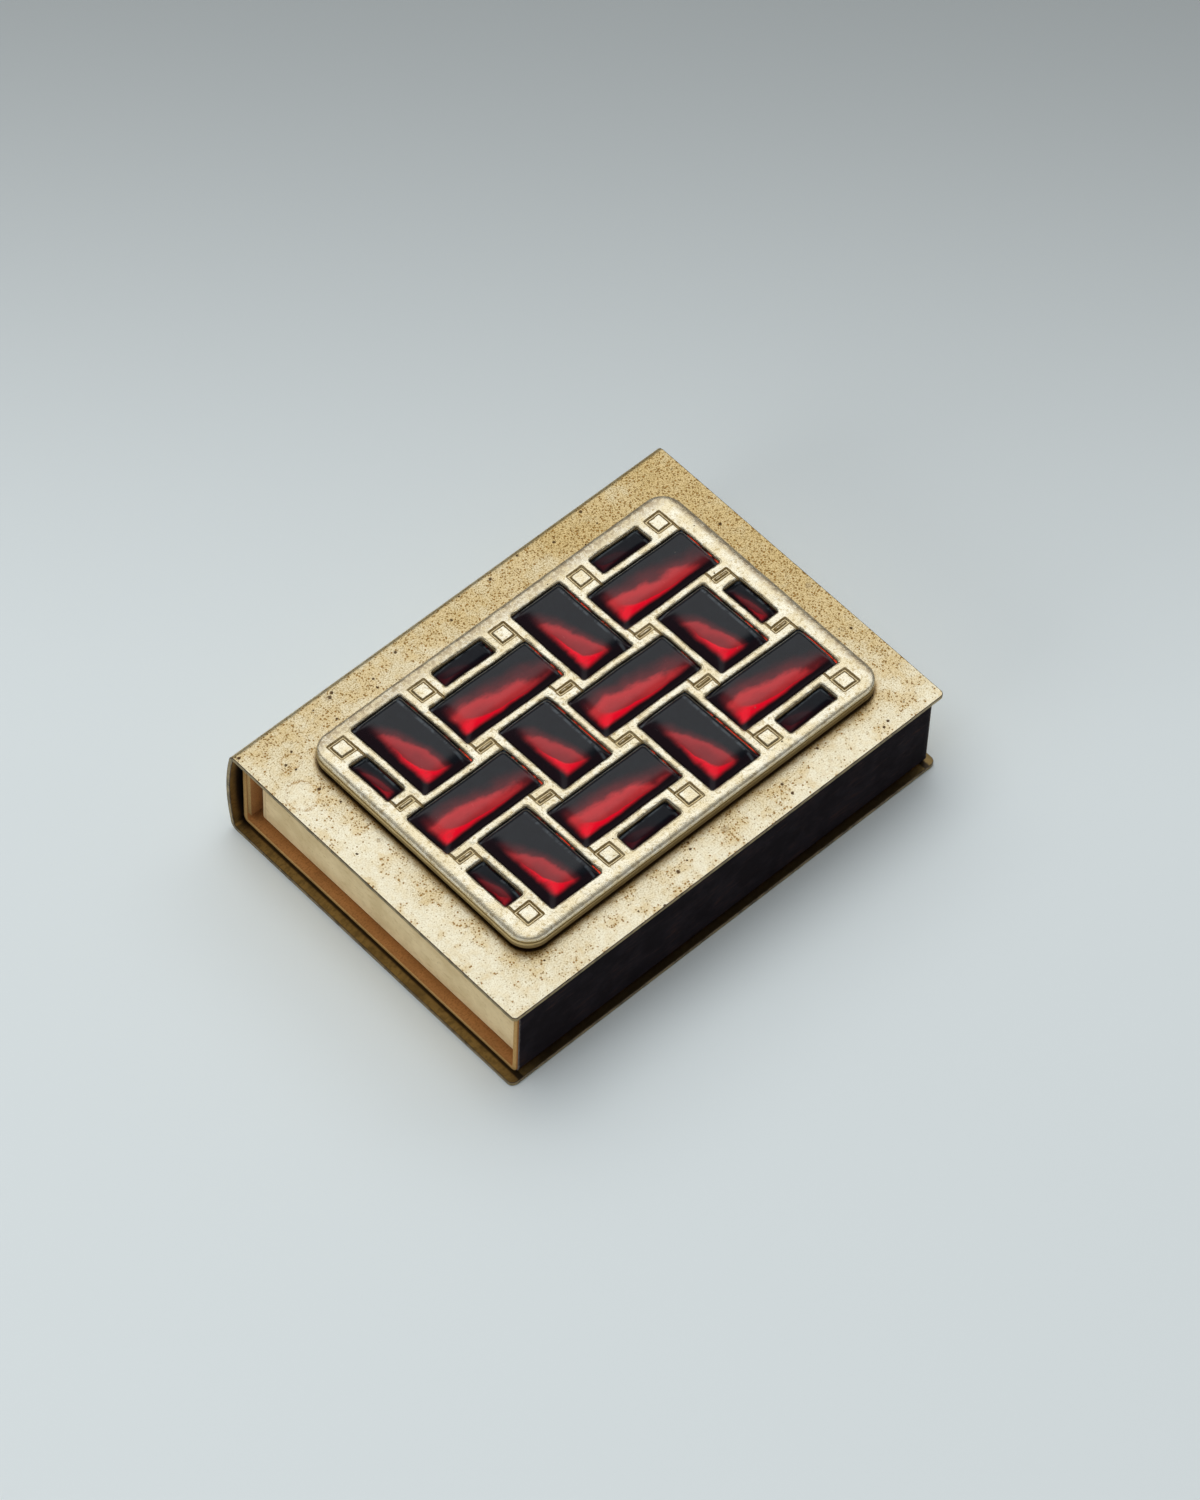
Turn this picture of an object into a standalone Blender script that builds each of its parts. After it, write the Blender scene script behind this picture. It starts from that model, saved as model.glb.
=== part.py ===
"""Match case: a brass sheet folded like a book cover round a card matchbox.

The cover carries a cast plaque whose basketweave of pockets is filled with enamel. The
matchbox slides out of the open long side, and its tray of matches slides out of either end.
X runs along the spine, +Y points to the spine, -Y to the striking side, +Z up.
"""
import math

import bmesh
import bpy
from mathutils import Matrix, Vector

# Cover: one folded sheet
COVER_LENGTH = 0.055
COVER_WIDTH = 0.0402
COVER_HEIGHT = 0.0117
SHEET = 0.0005
FOLD_RADIUS = 0.0009
SPINE_BULGE = 0.0005
TOP_CORNER_RADIUS = 0.0005
BOTTOM_CORNER_RADIUS = 0.0007
BOTTOM_EDGE_SETBACK = 0.0001
SHEET_EDGE_BREAK = 0.00006
FOLD_STEPS = 6
SPINE_STEPS = 12
CORNER_STEPS = 5

# Plaque: a casting with a pocket for each cell of the weave
PLAQUE_THICKNESS = 0.0014
PLAQUE_RIM = 0.0016
PLAQUE_FAR_RIM = 0.0022
PLAQUE_CORNER_RADIUS = 0.0024
PLAQUE_EDGE_ROUND = 0.0007
PLAQUE_CORNER_STEPS = 8
PLAQUE_EDGE_STEPS = 4
POCKET_FLOOR = 0.0005
POCKET_DRAFT = 0.00008
POCKET_CORNER_RADIUS = 0.0003
POCKET_CORNER_STEPS = 2
GROOVE_WIDTH = 0.0002
GROOVE_DEPTH = 0.00025

# Bond under the plaque
BOND_THICKNESS = 0.0002
BOND_INSET = 0.001
BOND_GAP = 0.00005

# Weave: rows of cells along X, crossed by columns of cells along Y, off the cover's middle
COLUMNS = 4
ROWS = 3
COLUMN_PITCH = 0.01
ROW_PITCH = 0.008
RIB = 0.00095
LONG_CELL_WIDTH = 0.0053
CROSS_CELL_WIDTH = 0.00605
EDGE_CELL_WIDTH = 0.00205
WEAVE_OFFSET_X = 0.00043
WEAVE_OFFSET_Y = -0.00063

# Enamel in the pockets
ENAMEL_GAP = 0.00008
ENAMEL_SHOULDER = 0.00012
ENAMEL_CROWN = 0.00055
ENAMEL_CORNER_RADIUS = 0.00025
EDGE_ENAMEL_SINK = 0.0004
EDGE_ENAMEL_CROWN = 0.0001
CROWN_INSET_SHARES = (0.06, 0.10, 0.14, 0.18, 0.22)
CROWN_RISE_SHARES = (0.32, 0.26, 0.20, 0.14, 0.08)

# Matchbox sleeve: one wrapped card, double on the spine side
CARD = 0.0005
SLEEVE_FOLD_RADIUS = 0.0007
SLEEVE_FOLD_STEPS = 3
SLEEVE_NEAR_SETBACK = 0.00115
SLEEVE_FAR_SETBACK = 0.0007
SLEEVE_FRONT_SETBACK = 0.00085
SLEEVE_SPINE_GAP = 0.0006
SLEEVE_BASE_GAP = 0.0001
SLEEVE_ROOF_GAP = 0.0003
PLY_SLIT = 0.00008
FLAP_END_GAP = 0.0012
OUTER_PLY_DROP = 0.0005

# Striking strips on the sleeve's two long sides
STRIP_THICKNESS = 0.0001
STRIP_GAP = 0.00005
STRIP_END_MARGIN = 0.00015
STRIP_SIDE_MARGIN = 0.0002

# Tray
TRAY_CARD = 0.00045
TRAY_NEAR_RECESS = 0.0012
TRAY_FAR_RECESS = 0.0006
TRAY_SIDE_GAP = 0.00012
TRAY_FLOOR_GAP = 0.0001
TRAY_ROOF_GAP = 0.0003
TRAY_CORNER_RADIUS = 0.0004
TRAY_CORNER_STEPS = 2

# Matches, in one layer on the tray's floor
MATCH_COUNT = 10
MATCH_LENGTH = 0.0435
MATCH_HEAD_LENGTH = 0.0042
MATCH_STICK_SHARE = 0.63
MATCH_SPACING = 0.0003
MATCH_SIDE_GAP = 0.0014
MATCH_REST_GAP = 0.0001
MATCH_END_GAP = 0.0015
HEAD_SOCKET_GAP = 0.00005
HEAD_SEGMENTS = 12
HEAD_RINGS = 8

# How far a cutter runs past the face it cuts
OVERRUN = 0.0005

# Sizes that follow from the ones above
LONG_CELL_LENGTH = 2 * COLUMN_PITCH - CROSS_CELL_WIDTH - 2 * RIB
CROSS_CELL_LENGTH = 2 * ROW_PITCH - LONG_CELL_WIDTH - 2 * RIB
FIELD_HALF_X = (COLUMNS - 1) / 2 * COLUMN_PITCH + LONG_CELL_LENGTH / 2
FIELD_HALF_Y = (ROWS + 1) / 2 * ROW_PITCH - CROSS_CELL_LENGTH / 2 + EDGE_CELL_WIDTH
PLAQUE_X = (-FIELD_HALF_X - PLAQUE_RIM, FIELD_HALF_X + PLAQUE_FAR_RIM)
PLAQUE_Y = (-FIELD_HALF_Y - PLAQUE_RIM, FIELD_HALF_Y + PLAQUE_RIM)
BOND_BASE = COVER_HEIGHT + BOND_GAP
PLAQUE_BASE = BOND_BASE + BOND_THICKNESS + BOND_GAP
PLAQUE_TOP = PLAQUE_BASE + PLAQUE_THICKNESS
POCKET_BASE = PLAQUE_BASE + POCKET_FLOOR

SLEEVE_X = (-COVER_LENGTH / 2 + SLEEVE_NEAR_SETBACK, COVER_LENGTH / 2 - SLEEVE_FAR_SETBACK)
SLEEVE_Y = (
    -COVER_WIDTH / 2 + SLEEVE_FRONT_SETBACK,
    COVER_WIDTH / 2 - SHEET - SLEEVE_SPINE_GAP,
)
SLEEVE_Z = (SHEET + SLEEVE_BASE_GAP, COVER_HEIGHT - SHEET - SLEEVE_ROOF_GAP)

TRAY_X = (SLEEVE_X[0] + TRAY_NEAR_RECESS, SLEEVE_X[1] - TRAY_FAR_RECESS)
TRAY_Y = (SLEEVE_Y[0] + CARD + TRAY_SIDE_GAP, SLEEVE_Y[1] - 2 * CARD - PLY_SLIT - TRAY_SIDE_GAP)
TRAY_Z = (SLEEVE_Z[0] + CARD + TRAY_FLOOR_GAP, SLEEVE_Z[1] - CARD - TRAY_ROOF_GAP)

MATCH_LAYER_WIDTH = TRAY_Y[1] - TRAY_Y[0] - 2 * (TRAY_CARD + MATCH_SIDE_GAP)
MATCH_PITCH = (MATCH_LAYER_WIDTH + MATCH_SPACING) / MATCH_COUNT
MATCH_HEAD_DIAMETER = MATCH_PITCH - MATCH_SPACING
MATCH_STICK = MATCH_HEAD_DIAMETER * MATCH_STICK_SHARE

# Colours as linear red, green, blue
BRASS = (0.72, 0.56, 0.27)
CAST_METAL = (0.66, 0.58, 0.40)
RED_ENAMEL = (0.28, 0.006, 0.008)
DARK_ENAMEL = (0.05, 0.004, 0.006)
SLEEVE_BROWN = (0.33, 0.17, 0.07)
TRAY_CREAM = (0.60, 0.46, 0.24)
STRIKER_DARK = (0.022, 0.016, 0.020)
BOND_GREY = (0.12, 0.10, 0.08)
MATCHWOOD = (0.68, 0.50, 0.28)
HEAD_BROWN = (0.22, 0.035, 0.02)


def clear_scene():
    for item in list(bpy.data.objects):
        bpy.data.objects.remove(item, do_unlink=True)


def make_collection(name):
    collection = bpy.data.collections.new(name)
    bpy.context.scene.collection.children.link(collection)
    return collection


def make_material(name, colour, roughness, metallic):
    material = bpy.data.materials.new(name)
    material.use_nodes = True
    shader = material.node_tree.nodes["Principled BSDF"]
    shader.inputs["Base Color"].default_value = (*colour, 1.0)
    shader.inputs["Roughness"].default_value = roughness
    shader.inputs["Metallic"].default_value = metallic
    return material


def make_empty(name, place, collection, parent=None):
    """An empty that a moving group hangs from, at the middle of the group."""
    empty = bpy.data.objects.new(name, None)
    collection.objects.link(empty)
    empty.location = place
    if parent is not None:
        empty.parent = parent
        empty.location = Vector(place) - world_place(parent)
    return empty


def world_place(empty):
    """Where an empty stands, counted through its parents."""
    place = Vector(empty.location)
    if empty.parent is not None:
        place += world_place(empty.parent)
    return place


def add_object(name, mesh, material, collection, place, parent=None):
    item = bpy.data.objects.new(name, mesh)
    collection.objects.link(item)
    if not mesh.materials:
        mesh.materials.append(material)
    item.location = place
    if parent is not None:
        item.parent = parent
        item.location = Vector(place) - world_place(parent)
    return item


def finish_mesh(bm, name, smooth_angle=None):
    bmesh.ops.recalc_face_normals(bm, faces=bm.faces)
    mesh = bpy.data.meshes.new(name)
    bm.to_mesh(mesh)
    bm.free()
    if smooth_angle is not None:
        mesh.shade_smooth()
        mesh.set_sharp_from_angle(angle=smooth_angle)
    return mesh


def evaluated_mesh(item, name):
    """The item's mesh with its modifiers applied."""
    graph = bpy.context.evaluated_depsgraph_get()
    mesh = bpy.data.meshes.new_from_object(item.evaluated_get(graph))
    mesh.name = name
    return mesh


def add_block(bm, low, high, corner_radius=0.0, corner_steps=1, flare=0.0):
    """A box whose upright edges are rounded and whose top may be wider than its foot."""
    low, high = Vector(low), Vector(high)
    size = high - low
    matrix = Matrix.Translation((low + high) / 2) @ Matrix.Diagonal((*size, 1.0))
    before = set(bm.verts)
    cube = bmesh.ops.create_cube(bm, size=1.0, matrix=matrix)
    if corner_radius > 0:
        edges = {edge for vert in cube["verts"] for edge in vert.link_edges}
        upright = [e for e in edges if abs(e.verts[0].co.z - e.verts[1].co.z) > size.z / 2]
        bmesh.ops.bevel(bm, geom=upright, offset=corner_radius, offset_type="OFFSET",
                        segments=corner_steps, profile=0.5, affect="EDGES", material=-1)
    fresh = [vert for vert in bm.verts if vert not in before]
    middle = (low + high) / 2
    for vert in fresh:
        if vert.co.z > middle.z:
            vert.co.x += math.copysign(flare, vert.co.x - middle.x)
            vert.co.y += math.copysign(flare, vert.co.y - middle.y)
    return fresh


def top_face(bm, verts):
    """The face of these vertices that looks straight up."""
    faces = {face for vert in verts for face in vert.link_faces}
    return max(faces, key=lambda face: face.calc_center_median().z)


def arc(centre, radius, start, end, steps):
    """Points on an arc, angles in radians, both ends included."""
    points = []
    for step in range(steps + 1):
        angle = start + (end - start) * step / steps
        points.append((centre[0] + radius * math.cos(angle), centre[1] + radius * math.sin(angle)))
    return points


def folded_path(corners, radius, steps):
    """A path through the corners, each inner corner a right-angled fold of this radius."""
    path = [corners[0]]
    for back, here, ahead in zip(corners, corners[1:], corners[2:]):
        corner = Vector(here)
        inward = (Vector(back) - corner).normalized()
        onward = (Vector(ahead) - corner).normalized()
        centre = corner + (inward + onward) * radius
        for step in range(steps + 1):
            turn = math.pi / 2 * step / steps
            point = centre - onward * radius * math.cos(turn) - inward * radius * math.sin(turn)
            path.append((point.x, point.y))
    path.append(corners[-1])
    return path


def sheet_bmesh(path, x_range):
    """An open sheet: the (y, z) path swept along X."""
    bm = bmesh.new()
    verts = [bm.verts.new((x_range[0], y, z)) for y, z in path]
    edges = [bm.edges.new(pair) for pair in zip(verts, verts[1:])]
    swept = bmesh.ops.extrude_edge_only(bm, edges=edges)
    moved = [part for part in swept["geom"] if isinstance(part, bmesh.types.BMVert)]
    bmesh.ops.translate(bm, verts=moved, vec=(x_range[1] - x_range[0], 0.0, 0.0))
    return bm


def round_sheet_corners(bm, z_level, y_level, radius, steps):
    """Rounds the sheet's two free corners that lie on this level."""
    near = radius / steps
    corners = [
        vert for vert in bm.verts
        if abs(vert.co.z - z_level) < near and abs(vert.co.y - y_level) < near
    ]
    bmesh.ops.bevel(bm, geom=corners, offset=radius, offset_type="OFFSET",
                    segments=steps, profile=0.5, affect="VERTICES", material=-1)


def add_solidify(item, thickness, offset):
    wall = item.modifiers.new("wall", "SOLIDIFY")
    wall.thickness = thickness
    wall.offset = offset
    wall.use_even_offset = True
    wall.use_rim = True
    return wall


def add_bevel(item, width, angle):
    edge = item.modifiers.new("edge", "BEVEL")
    edge.width = width
    edge.segments = 1
    edge.limit_method = "ANGLE"
    edge.angle_limit = angle
    return edge


def cover_path():
    """The outside of the folded sheet, from the top plate's free edge to the bottom plate's."""
    front = -COVER_WIDTH / 2
    spine = COVER_WIDTH / 2 - SPINE_BULGE
    fold_y = spine - FOLD_RADIUS
    upper = COVER_HEIGHT - FOLD_RADIUS
    half_span = (upper - FOLD_RADIUS) / 2
    bow_radius = (half_span ** 2 + SPINE_BULGE ** 2) / (2 * SPINE_BULGE)
    bow_angle = math.asin(half_span / bow_radius)
    bow_centre = (COVER_WIDTH / 2 - bow_radius, COVER_HEIGHT / 2)
    path = [(front, COVER_HEIGHT)]
    path += arc((fold_y, upper), FOLD_RADIUS, math.pi / 2, 0.0, FOLD_STEPS)
    path += arc(bow_centre, bow_radius, bow_angle, -bow_angle, SPINE_STEPS)[1:-1]
    path += arc((fold_y, FOLD_RADIUS), FOLD_RADIUS, 0.0, -math.pi / 2, FOLD_STEPS)
    path.append((front + BOTTOM_EDGE_SETBACK, 0.0))
    return path


def build_cover(material, collection):
    bm = sheet_bmesh(cover_path(), (-COVER_LENGTH / 2, COVER_LENGTH / 2))
    round_sheet_corners(bm, COVER_HEIGHT, -COVER_WIDTH / 2, TOP_CORNER_RADIUS, CORNER_STEPS)
    round_sheet_corners(bm, 0.0, -COVER_WIDTH / 2 + BOTTOM_EDGE_SETBACK,
                        BOTTOM_CORNER_RADIUS, CORNER_STEPS)
    mesh = finish_mesh(bm, "brass_cover", math.radians(40))
    item = add_object("brass_cover", mesh, material, collection, (0.0, 0.0, 0.0))
    add_solidify(item, SHEET, outward_offset(mesh))
    add_bevel(item, SHEET_EDGE_BREAK, math.radians(60))
    return item


def outward_offset(mesh):
    """Solidify's offset that puts the wall inside a sheet drawn along its outer surface."""
    middle_z = sum(vert.co.z for vert in mesh.vertices) / len(mesh.vertices)
    highest = max(mesh.polygons, key=lambda face: face.center.z)
    points_out = highest.normal.z * (highest.center.z - middle_z) > 0
    return -1.0 if points_out else 1.0


def weave_cells():
    """Each cell of the weave as (kind, x low, x high, y low, y high) about the weave's middle."""
    cells = []
    for row in range(-1, ROWS + 1):
        for column in range(-1, COLUMNS + 1):
            kind, box = weave_cell(row, column)
            x_low, x_high, y_low, y_high = box
            if min(x_high - x_low, y_high - y_low) > RIB:
                cells.append((kind, *box))
    return cells


def weave_cell(row, column):
    """One cell, clipped to the field. Cells cut by the field's edge are edge cells."""
    middle_x = (column - (COLUMNS - 1) / 2) * COLUMN_PITCH
    middle_y = ((ROWS - 1) / 2 - row) * ROW_PITCH
    crossing = (row + column) % 2 == 0
    half_x = (CROSS_CELL_WIDTH if crossing else LONG_CELL_LENGTH) / 2
    half_y = (CROSS_CELL_LENGTH if crossing else LONG_CELL_WIDTH) / 2
    y_low, y_high = middle_y - half_y, middle_y + half_y
    if crossing and row == 0:
        y_high = FIELD_HALF_Y
    if crossing and row == ROWS - 1:
        y_low = -FIELD_HALF_Y
    box = (
        max(middle_x - half_x, -FIELD_HALF_X),
        min(middle_x + half_x, FIELD_HALF_X),
        max(y_low, -FIELD_HALF_Y),
        min(y_high, FIELD_HALF_Y),
    )
    inside = 0 <= row < ROWS and 0 <= column < COLUMNS
    if not inside:
        return "edge", box
    return ("cross" if crossing else "long"), box


def weave_pads():
    """The small grooved squares and bars between the cells, as (x low, x high, y low, y high)."""
    half_x = (COLUMN_PITCH - CROSS_CELL_WIDTH) / 2 - RIB
    half_y = (ROW_PITCH - LONG_CELL_WIDTH) / 2 - RIB
    pads = []
    for row in range(-1, ROWS):
        for column in range(-1, COLUMNS):
            middle_x = (column + 1 - COLUMNS / 2) * COLUMN_PITCH
            middle_y = (ROWS / 2 - 1 - row) * ROW_PITCH
            y_low = -FIELD_HALF_Y if row == ROWS - 1 else middle_y - half_y
            y_high = FIELD_HALF_Y if row == -1 else middle_y + half_y
            pads.append((middle_x - half_x, middle_x + half_x, y_low, y_high))
    return pads


def add_groove(bm, pad):
    """A rectangular ring that cuts the groove round one pad."""
    x_low, x_high, y_low, y_high = pad
    floor = PLAQUE_TOP - GROOVE_DEPTH
    corners = ((x_low, y_low), (x_high, y_low), (x_high, y_high), (x_low, y_high))
    face = bm.faces.new([bm.verts.new((x, y, floor)) for x, y in corners])
    face.normal_update()
    bmesh.ops.inset_region(bm, faces=[face], thickness=GROOVE_WIDTH, use_boundary=True,
                           use_even_offset=True)
    ring = {other for edge in face.edges for other in edge.link_faces} - {face}
    bmesh.ops.delete(bm, geom=[face], context="FACES_ONLY")
    raised = bmesh.ops.extrude_face_region(bm, geom=list(ring), use_keep_orig=True)
    moved = [part for part in raised["geom"] if isinstance(part, bmesh.types.BMVert)]
    bmesh.ops.translate(bm, verts=moved, vec=(0.0, 0.0, GROOVE_DEPTH + OVERRUN))


def build_plaque_cutter(collection):
    bm = bmesh.new()
    for _kind, x_low, x_high, y_low, y_high in weave_cells():
        add_block(bm, (x_low, y_low, POCKET_BASE), (x_high, y_high, PLAQUE_TOP + OVERRUN),
                  POCKET_CORNER_RADIUS, POCKET_CORNER_STEPS, POCKET_DRAFT)
    for pad in weave_pads():
        add_groove(bm, pad)
    mesh = finish_mesh(bm, "plaque_cutter")
    cutter = bpy.data.objects.new("plaque_cutter", mesh)
    collection.objects.link(cutter)
    cutter.location = (WEAVE_OFFSET_X, WEAVE_OFFSET_Y, 0.0)
    cutter.hide_render = True
    cutter.display_type = "WIRE"
    return cutter


def build_plaque(material, collection, cutter):
    bm = bmesh.new()
    verts = add_block(bm, (PLAQUE_X[0], PLAQUE_Y[0], PLAQUE_BASE),
                      (PLAQUE_X[1], PLAQUE_Y[1], PLAQUE_TOP),
                      PLAQUE_CORNER_RADIUS, PLAQUE_CORNER_STEPS)
    rim = list(top_face(bm, verts).edges)
    bmesh.ops.bevel(bm, geom=rim, offset=PLAQUE_EDGE_ROUND, offset_type="OFFSET",
                    segments=PLAQUE_EDGE_STEPS, profile=0.5, affect="EDGES", material=-1)
    mesh = finish_mesh(bm, "cast_plaque")
    place = (WEAVE_OFFSET_X, WEAVE_OFFSET_Y, 0.0)
    item = add_object("cast_plaque", mesh, material, collection, place)
    cut = item.modifiers.new("pockets", "BOOLEAN")
    cut.operation = "DIFFERENCE"
    cut.solver = "EXACT"
    cut.object = cutter
    return item


def build_bond(material, collection):
    bm = bmesh.new()
    low = (PLAQUE_X[0] + BOND_INSET, PLAQUE_Y[0] + BOND_INSET, 0.0)
    high = (PLAQUE_X[1] - BOND_INSET, PLAQUE_Y[1] - BOND_INSET, BOND_THICKNESS)
    add_block(bm, low, high, PLAQUE_CORNER_RADIUS - BOND_INSET, PLAQUE_CORNER_STEPS)
    mesh = finish_mesh(bm, "plaque_bond")
    place = (WEAVE_OFFSET_X, WEAVE_OFFSET_Y, BOND_BASE)
    return add_object("plaque_bond", mesh, material, collection, place)


def enamel_mesh(name, half_x, half_y, side, crown):
    """A pillow of enamel: straight sides, then a crown that rises in narrowing steps."""
    bm = bmesh.new()
    verts = add_block(bm, (-half_x, -half_y, 0.0), (half_x, half_y, side),
                      ENAMEL_CORNER_RADIUS, POCKET_CORNER_STEPS)
    face = top_face(bm, verts)
    reach = min(half_x, half_y)
    drawn_in = 0.0
    for inset_share, rise_share in zip(CROWN_INSET_SHARES, CROWN_RISE_SHARES):
        inset = inset_share * reach
        narrower = (half_x - drawn_in - inset) / (half_x - drawn_in)
        shallower = (half_y - drawn_in - inset) / (half_y - drawn_in)
        face = bmesh.ops.extrude_discrete_faces(bm, faces=[face])["faces"][0]
        bmesh.ops.scale(bm, verts=list(face.verts), vec=(narrower, shallower, 1.0))
        bmesh.ops.translate(bm, verts=list(face.verts), vec=(0.0, 0.0, rise_share * crown))
        drawn_in += inset
    return finish_mesh(bm, name, math.radians(35))


def build_enamel(materials, collection):
    """One pillow for each pocket, numbered along the rows within its kind."""
    counts = {"long": 0, "cross": 0, "edge": 0}
    base = POCKET_BASE + ENAMEL_GAP
    for kind, x_low, x_high, y_low, y_high in weave_cells():
        counts[kind] += 1
        name = f"enamel_{kind}_{counts[kind]:02d}"
        half_x = (x_high - x_low) / 2 - ENAMEL_GAP
        half_y = (y_high - y_low) / 2 - ENAMEL_GAP
        edge_cell = kind == "edge"
        sink = EDGE_ENAMEL_SINK if edge_cell else ENAMEL_SHOULDER
        crown = EDGE_ENAMEL_CROWN if edge_cell else ENAMEL_CROWN
        mesh = enamel_mesh(name, half_x, half_y, PLAQUE_TOP - sink - base, crown)
        place = (WEAVE_OFFSET_X + (x_low + x_high) / 2, WEAVE_OFFSET_Y + (y_low + y_high) / 2, base)
        material = materials["dark_enamel" if edge_cell else "red_enamel"]
        add_object(name, mesh, material, collection, place)


def sleeve_path():
    """The outside of the wrapped card, from the outer ply's free end to the inner flap's."""
    front, spine = SLEEVE_Y
    bottom, top = SLEEVE_Z
    flap = spine - CARD - PLY_SLIT
    corners = [
        (spine, top - OUTER_PLY_DROP),
        (spine, bottom),
        (front, bottom),
        (front, top),
        (flap, top),
        (flap, bottom + CARD + FLAP_END_GAP),
    ]
    return folded_path(corners, SLEEVE_FOLD_RADIUS, SLEEVE_FOLD_STEPS)


def centre_of(*ranges):
    return Vector([(low + high) / 2 for low, high in ranges])


def shift_to(mesh, place):
    """Moves the mesh so that its object stands at the place with the shape unmoved."""
    mesh.transform(Matrix.Translation(-Vector(place)))


def build_sleeve(material, collection, parent):
    bm = sheet_bmesh(sleeve_path(), SLEEVE_X)
    mesh = finish_mesh(bm, "matchbox_sleeve", math.radians(40))
    offset = outward_offset(mesh)
    place = centre_of(SLEEVE_X, SLEEVE_Y, SLEEVE_Z)
    shift_to(mesh, place)
    item = add_object("matchbox_sleeve", mesh, material, collection, place, parent)
    add_solidify(item, CARD, offset)
    return item


def build_striking_strips(material, collection, parent):
    length = (SLEEVE_X[1] - SLEEVE_X[0]) / 2 - STRIP_END_MARGIN
    straight = (SLEEVE_Z[1] - SLEEVE_Z[0]) / 2 - SLEEVE_FOLD_RADIUS - STRIP_SIDE_MARGIN
    centre = centre_of(SLEEVE_X, SLEEVE_Y, SLEEVE_Z)
    reach = STRIP_GAP + STRIP_THICKNESS / 2
    places = {"striker_front": SLEEVE_Y[0] - reach, "striker_back": SLEEVE_Y[1] + reach}
    bm = bmesh.new()
    add_block(bm, (-length, -STRIP_THICKNESS / 2, -straight),
              (length, STRIP_THICKNESS / 2, straight))
    mesh = finish_mesh(bm, "striking_strip")
    for name, y in places.items():
        add_object(name, mesh, material, collection, (centre.x, y, centre.z), parent)


def build_tray(material, collection, parent):
    """An open card box: a block without its lid, given the card's thickness inwards."""
    bm = bmesh.new()
    low = [limits[0] for limits in (TRAY_X, TRAY_Y, TRAY_Z)]
    high = [limits[1] for limits in (TRAY_X, TRAY_Y, TRAY_Z)]
    verts = add_block(bm, low, high, TRAY_CORNER_RADIUS, TRAY_CORNER_STEPS)
    bmesh.ops.recalc_face_normals(bm, faces=bm.faces)
    bmesh.ops.delete(bm, geom=[top_face(bm, verts)], context="FACES_ONLY")
    mesh = bpy.data.meshes.new("match_tray")
    bm.to_mesh(mesh)
    bm.free()
    place = centre_of(TRAY_X, TRAY_Y, TRAY_Z)
    shift_to(mesh, place)
    item = add_object("match_tray", mesh, material, collection, place, parent)
    add_solidify(item, TRAY_CARD, -1.0)
    return item


def match_head_mesh(cutters):
    """A dipped head with a blind socket for the stick's end, pointing along -X."""
    bm = bmesh.new()
    stretch = MATCH_HEAD_LENGTH / MATCH_HEAD_DIAMETER
    matrix = Matrix.Diagonal((stretch, 1.0, 1.0, 1.0)) @ Matrix.Rotation(math.pi / 2, 4, "Y")
    bmesh.ops.create_uvsphere(bm, u_segments=HEAD_SEGMENTS, v_segments=HEAD_RINGS,
                              radius=MATCH_HEAD_DIAMETER / 2, matrix=matrix)
    solid = bpy.data.objects.new("head_blank", finish_mesh(bm, "head_blank"))
    cutters.objects.link(solid)
    bm = bmesh.new()
    half = MATCH_STICK / 2 + HEAD_SOCKET_GAP
    add_block(bm, (-HEAD_SOCKET_GAP, -half, -half), (MATCH_HEAD_LENGTH, half, half))
    socket = bpy.data.objects.new("head_socket", finish_mesh(bm, "head_socket"))
    cutters.objects.link(socket)
    cut = solid.modifiers.new("socket", "BOOLEAN")
    cut.operation = "DIFFERENCE"
    cut.solver = "EXACT"
    cut.object = socket
    mesh = evaluated_mesh(solid, "match_head")
    for item in (solid, socket):
        bpy.data.objects.remove(item, do_unlink=True)
    mesh.shade_smooth()
    mesh.set_sharp_from_angle(angle=math.radians(50))
    return mesh


def build_matches(materials, collection, cutters, parent):
    """A layer of matches, heads towards -X, centred across the tray."""
    bm = bmesh.new()
    half = MATCH_STICK / 2
    add_block(bm, (0.0, -half, -half), (MATCH_LENGTH, half, half))
    stick = finish_mesh(bm, "match_stick")
    head = match_head_mesh(cutters)
    start = (TRAY_Y[0] + TRAY_Y[1]) / 2 - MATCH_PITCH * (MATCH_COUNT - 1) / 2
    x = TRAY_X[0] + TRAY_CARD + MATCH_END_GAP + MATCH_HEAD_LENGTH / 2
    z = TRAY_Z[0] + TRAY_CARD + MATCH_REST_GAP + MATCH_HEAD_DIAMETER / 2
    for index in range(MATCH_COUNT):
        place = (x, start + MATCH_PITCH * index, z)
        number = f"{index + 1:02d}"
        add_object(f"match_stick_{number}", stick, materials["matchwood"], collection, place, parent)
        add_object(f"match_head_{number}", head, materials["head_brown"], collection, place, parent)


def build_materials():
    return {
        "brass": make_material("brass", BRASS, 0.42, 1.0),
        "cast_metal": make_material("cast_metal", CAST_METAL, 0.48, 1.0),
        "red_enamel": make_material("red_enamel", RED_ENAMEL, 0.12, 0.0),
        "dark_enamel": make_material("dark_enamel", DARK_ENAMEL, 0.2, 0.0),
        "sleeve_card": make_material("sleeve_card", SLEEVE_BROWN, 0.85, 0.0),
        "tray_card": make_material("tray_card", TRAY_CREAM, 0.85, 0.0),
        "striker": make_material("striker", STRIKER_DARK, 0.75, 0.0),
        "bond": make_material("bond", BOND_GREY, 0.7, 0.0),
        "matchwood": make_material("matchwood", MATCHWOOD, 0.8, 0.0),
        "head_brown": make_material("head_brown", HEAD_BROWN, 0.7, 0.0),
    }


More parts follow.
